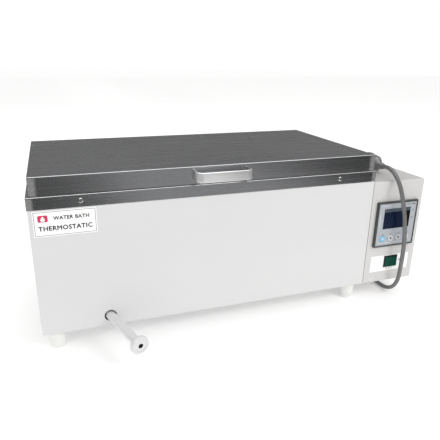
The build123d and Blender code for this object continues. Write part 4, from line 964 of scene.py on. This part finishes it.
# %% Draw the seam beside the control box
left, right, bottom, top, box_y = front_face("control_box_shell")
seam_width, seam_margin = 0.9, 2.0
flat_print("box_seam", [bar(left, (bottom + top) / 2, seam_width, top - bottom - 2 * seam_margin)], box_y,
           "ink_shadow")
print("seam at x", round(left, 1), "mm")

# %% [markdown]
# The drain cock comes out through a hole in the panel that is larger than its stem, so a dark
# crescent shows beside it. A dark ring just inside the panel's face stands for the unlit gap.
# Looking into the knob's bore one sees no light either. A dark disc just inside the mouth gives
# that, and it turns and travels with the knob.

# %% Shade the drain's gap and bore
stem_at_panel = Vector((-0.2616, -0.114895, 0.0534))
drain_way = Vector((0.32179, -0.94526, -0.05408)).normalized()
gap_x, gap_z = stem_at_panel.x * 1000 + 1.0, stem_at_panel.z * 1000
gap_inner, gap_outer, gap_depth = (8.9, 8.1), (9.7, 9.3), 0.0003
flat_print("drain_gap", ring_quads(gap_x, gap_z, gap_inner, gap_outer, 40),
           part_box("front_panel")[0].y + gap_depth, "ink_shadow")

bore_depth_from_panel, bore_radius = 0.1036, 0.00415
bore_middle = stem_at_panel + drain_way * bore_depth_from_panel
disc_side = drain_way.cross(Vector((0.0, 0.0, 1.0))).normalized()
disc_up = disc_side.cross(drain_way)
disc_points = [bore_middle + bore_radius * (c * disc_side + s * disc_up) for c, s in circle_steps(32)]
bore_shade = mesh_piece("drain_bore_shade", disc_points, [tuple(range(32))], "ink_shade", smooth=False)
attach(bore_shade, "drain_tap")
print("bore shaded at", [round(c * 1000, 1) for c in bore_middle], "mm")

# %% [markdown]
# ## The plug and its boot
# The plug on a laboratory lead is one soft moulding: a flat grip with finger ribs, shoulders that
# fall to a ribbed boot, and three flat blades. It lies on its edge on the control box. A body
# whose section changes along its length is a loft, so rings of points are set out along it and
# joined.

# %% A helper that joins rings
def loft(name, sections, finish_name):
    """Closed rings of points joined in order, with both ends closed."""
    around = len(sections[0])
    points = [p for ring in sections for p in ring]
    faces = []
    for ring in range(len(sections) - 1):
        for step in range(around):
            a, b = ring * around + step, ring * around + (step + 1) % around
            faces.append((a, b, b + around, a + around))
    faces.append(tuple(reversed(range(around))))
    faces.append(tuple(range(len(points) - around, len(points))))
    return faced_outward(mesh_piece(name, points, faces, finish_name))


def faced_outward(made):
    """The same closed mesh with every face looking out."""
    work = bmesh.new()
    work.from_mesh(made.data)
    bmesh.ops.recalc_face_normals(work, faces=work.faces)
    work.to_mesh(made.data)
    work.free()
    return made


def rounded_ring(x, y, z, half_x, half_z, squareness, around=48):
    """A ring between an ellipse (2) and a rounded box (higher), in the plane across Y."""
    return [(x + half_x * math.copysign(abs(c) ** (2 / squareness), c), y,
             z + half_z * math.copysign(abs(s) ** (2 / squareness), s)) for c, s in circle_steps(around)]


print("loft helper is ready")

# %% [markdown]
# Each section of the plug is a distance behind the face with the pins, a half width, a half
# height, a squareness and the height of its middle. Five grooves leave the finger ribs standing.

# %% Loft the plug
plug_low, plug_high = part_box("plug_body")
plug_x, plug_z = (plug_low.x + plug_high.x) / 2, (plug_low.z + plug_high.z) / 2
pin_face, boot_z = plug_high.y, 0.2715
rib_step, rib_taper, rib_fall = 0.0042, 0.0004, 0.0001
plug_shape = [(0.0000, 0.0108, 0.0168, 5.0, plug_z), (0.0012, 0.0121, 0.0181, 5.0, plug_z),
              (0.0100, 0.0124, 0.0184, 5.0, plug_z), (0.0120, 0.0118, 0.0180, 5.0, plug_z)]
for rib in range(5):
    start, middle = 0.0140 + rib * rib_step, plug_z - rib * rib_fall
    for behind, half_x, half_z, squareness in ((0.0, 0.0112, 0.0176, 4.4), (0.0005, 0.0086, 0.0158, 4.2),
                                               (0.0019, 0.0086, 0.0157, 4.2), (0.0024, 0.0112, 0.0174, 4.4)):
        plug_shape.append((start + behind, half_x, half_z - rib * rib_taper, squareness, middle))
plug_shape += [(0.0370, 0.0108, 0.0150, 3.6, plug_z - 0.0006), (0.0410, 0.0096, 0.0118, 3.0, boot_z + 0.0005),
               (0.0438, 0.0078, 0.0084, 2.4, boot_z), (0.0450, 0.0072, 0.0074, 2.0, boot_z),
               (0.0580, 0.0058, 0.0058, 2.0, boot_z)]
plug_rings = [rounded_ring(plug_x, pin_face - d, z, w, h, q) for d, w, h, q, z in plug_shape]
plug_grip = loft("plug_grip", plug_rings, "plug_plastic")
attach(plug_grip, "body")
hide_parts("plug_body")
print("plug:", len(plug_grip.data.polygons), "faces")

# %% [markdown]
# The boots of the plug and of the gland are rows of soft rings on a taper. One tree makes both
# rows, given how many rings, where they start, how far apart they are and how thick.

# %% The tree that makes rings on a taper
rib_tree, given = new_tree("ribs_on_a_taper", [
    ("Count", "Int"), ("First", "Vector"), ("Step", "Vector"), ("First Radius", "Float"),
    ("Last Radius", "Float"), ("Thickness", "Float")])
row = add(rib_tree, "GeometryNodeMeshLine", {
    "Count": given["Count"], "Start Location": given["First"], "Offset": given["Step"]}, mode="OFFSET")
ring = add(rib_tree, "GeometryNodeCurvePrimitiveCircle", {"Resolution": 32, "Radius": 1.0})
section = add(rib_tree, "GeometryNodeCurvePrimitiveCircle", {"Resolution": 8, "Radius": given["Thickness"]})
index = add(rib_tree, "GeometryNodeInputIndex", {})
last = add(rib_tree, "ShaderNodeMath", {0: given["Count"], 1: 1.0}, operation="SUBTRACT")
radius = add(rib_tree, "ShaderNodeMapRange", {
    "Value": index.outputs[0], "From Min": 0.0, "From Max": last.outputs[0],
    "To Min": given["First Radius"], "To Max": given["Last Radius"]})
rings = add(rib_tree, "GeometryNodeInstanceOnPoints", {
    "Points": row.outputs[0], "Instance": ring.outputs[0], "Rotation": (math.radians(90), 0.0, 0.0),
    "Scale": radius.outputs[0]})
real_rings = add(rib_tree, "GeometryNodeRealizeInstances", {0: rings.outputs[0]})
tubes = add(rib_tree, "GeometryNodeCurveToMesh", {
    "Curve": real_rings.outputs[0], "Profile Curve": section.outputs[0]})
smooth = add(rib_tree, "GeometryNodeSetShadeSmooth", {"Geometry": tubes.outputs[0]})
finish_tree(rib_tree, given, smooth.outputs[0])
print("rib tree:", len(rib_tree.nodes), "nodes")

# %% [markdown]
# The plug's boot gets five fine rings in the plug's plastic, and the gland's nine thick ones in
# black. Both rows ride the body and carry the lead with them.

# %% Set the rings on both boots
def boot_rings(name, count, first, step, first_radius, last_radius, thickness, finish_name):
    """A row of rings along Y, riding the body."""
    made = run_tree(name, rib_tree, [(0, 0, 0)], {
        "Count": count, "First": first, "Step": (0.0, step, 0.0), "First Radius": first_radius,
        "Last Radius": last_radius, "Thickness": thickness, "Finish": finishes[finish_name]})
    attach(made, "body")
    return made


plug_ribs = boot_rings("plug_boot_ribs", 5, (plug_x, pin_face - 0.0462, boot_z), -0.0024, 0.0071, 0.0060,
                       0.0006, "plug_plastic")
gland_ribs = boot_rings("gland_boot_ribs", 9, (0.3175, 0.2181, 0.0720), 0.0034, 0.0079, 0.0065,
                        0.0009, "black_plastic")
print("ribs:", len(plug_ribs.data.polygons), len(gland_ribs.data.polygons), "faces")

# %% [markdown]
# ## The handle
# The handle is one strip of polished steel on edge, bent at two corners and fixed to the lid by
# its ends. Its long edges are broken, and it is those narrow rounded edges that catch the light.
# A strip bent in plan is a section carried along a path, so a rounded section is set out at each
# step of the path and joined to the next.

# %% Bend the handle's strip
strap_low, strap_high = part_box("lid_handle")
strip, bend, edge = 0.0038, 0.0120, 0.0017
bend_middle = bend - strip / 2
half_strip, half_tall = strip / 2 - edge, (strap_high.z - strap_low.z) / 2 - edge
path = [(strap_low.x + strip / 2, strap_high.y, 1.0, 0.0)]
for corner_x, side in ((strap_low.x + bend, -1), (strap_high.x - bend, 1)):
    arc = [(corner_x + side * bend_middle * c, strap_low.y + bend - bend_middle * s, -side * c, s)
           for c, s in circle_steps(12, 0.0, 90.0, True)]
    path += arc if side < 0 else arc[::-1]
path.append((strap_high.x - strip / 2, strap_high.y, -1.0, 0.0))
section = []
for side, up, start in ((1, 1, 0), (-1, 1, 90), (-1, -1, 180), (1, -1, 270)):
    section += [(side * half_strip + edge * c, up * half_tall + edge * s)
                for c, s in circle_steps(4, start, start + 90, True)]
middle_z = (strap_low.z + strap_high.z) / 2
strap_rings = [[(x + across * nx, y + across * ny, middle_z + up) for across, up in section]
               for x, y, nx, ny in path]
handle_strap = loft("handle_strap", strap_rings, "handle_steel")
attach(handle_strap, "lid")
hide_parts("lid_handle")
print("handle strap:", len(handle_strap.data.polygons), "faces, strip", strip * 1000, "mm thick")

# %% [markdown]
# ## The strap round the coil
# The put-away turns are held by one soft strap. The engineering strap is a plain band, and it is
# stood for by a rounded one: a thin profile carried round the coil's section.

# %% Wrap the strap
tie_low, tie_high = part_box("cord_tie")
tie = (tie_low + tie_high) / 2
half_x, half_z = (tie_high.x - tie_low.x) / 2, (tie_high.z - tie_low.z) / 2
tie_steps, tie_power = 64, 0.36
strap_points, strap_faces = [], []
profile = [(0.0004, -0.0045), (0.0001, -0.0040), (0.0001, 0.0040), (0.0004, 0.0045), (0.0009, 0.0043),
           (0.0009, -0.0043)]
for inset, across in profile:
    strap_points += [(tie.x + (half_x - inset) * math.copysign(abs(c) ** tie_power, c), tie.y + across,
                      tie.z + (half_z - inset) * math.copysign(abs(s) ** tie_power, s))
                     for c, s in circle_steps(tie_steps)]
for edge in range(len(profile)):
    this, other = edge * tie_steps, ((edge + 1) % len(profile)) * tie_steps
    for step in range(tie_steps):
        after = (step + 1) % tie_steps
        strap_faces.append((this + step, this + after, other + after, other + step))
coil_strap = faced_outward(mesh_piece("coil_strap", strap_points, strap_faces, "tie_plastic"))
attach(coil_strap, "body")
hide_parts("cord_tie")
print("strap:", len(coil_strap.data.polygons), "faces")
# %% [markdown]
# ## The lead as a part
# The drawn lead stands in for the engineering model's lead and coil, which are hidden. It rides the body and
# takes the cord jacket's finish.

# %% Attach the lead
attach(mains_lead, "body")
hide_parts("mains_cord", "cord_coil")
mains_lead.data.materials.append(finishes["cord_jacket"])
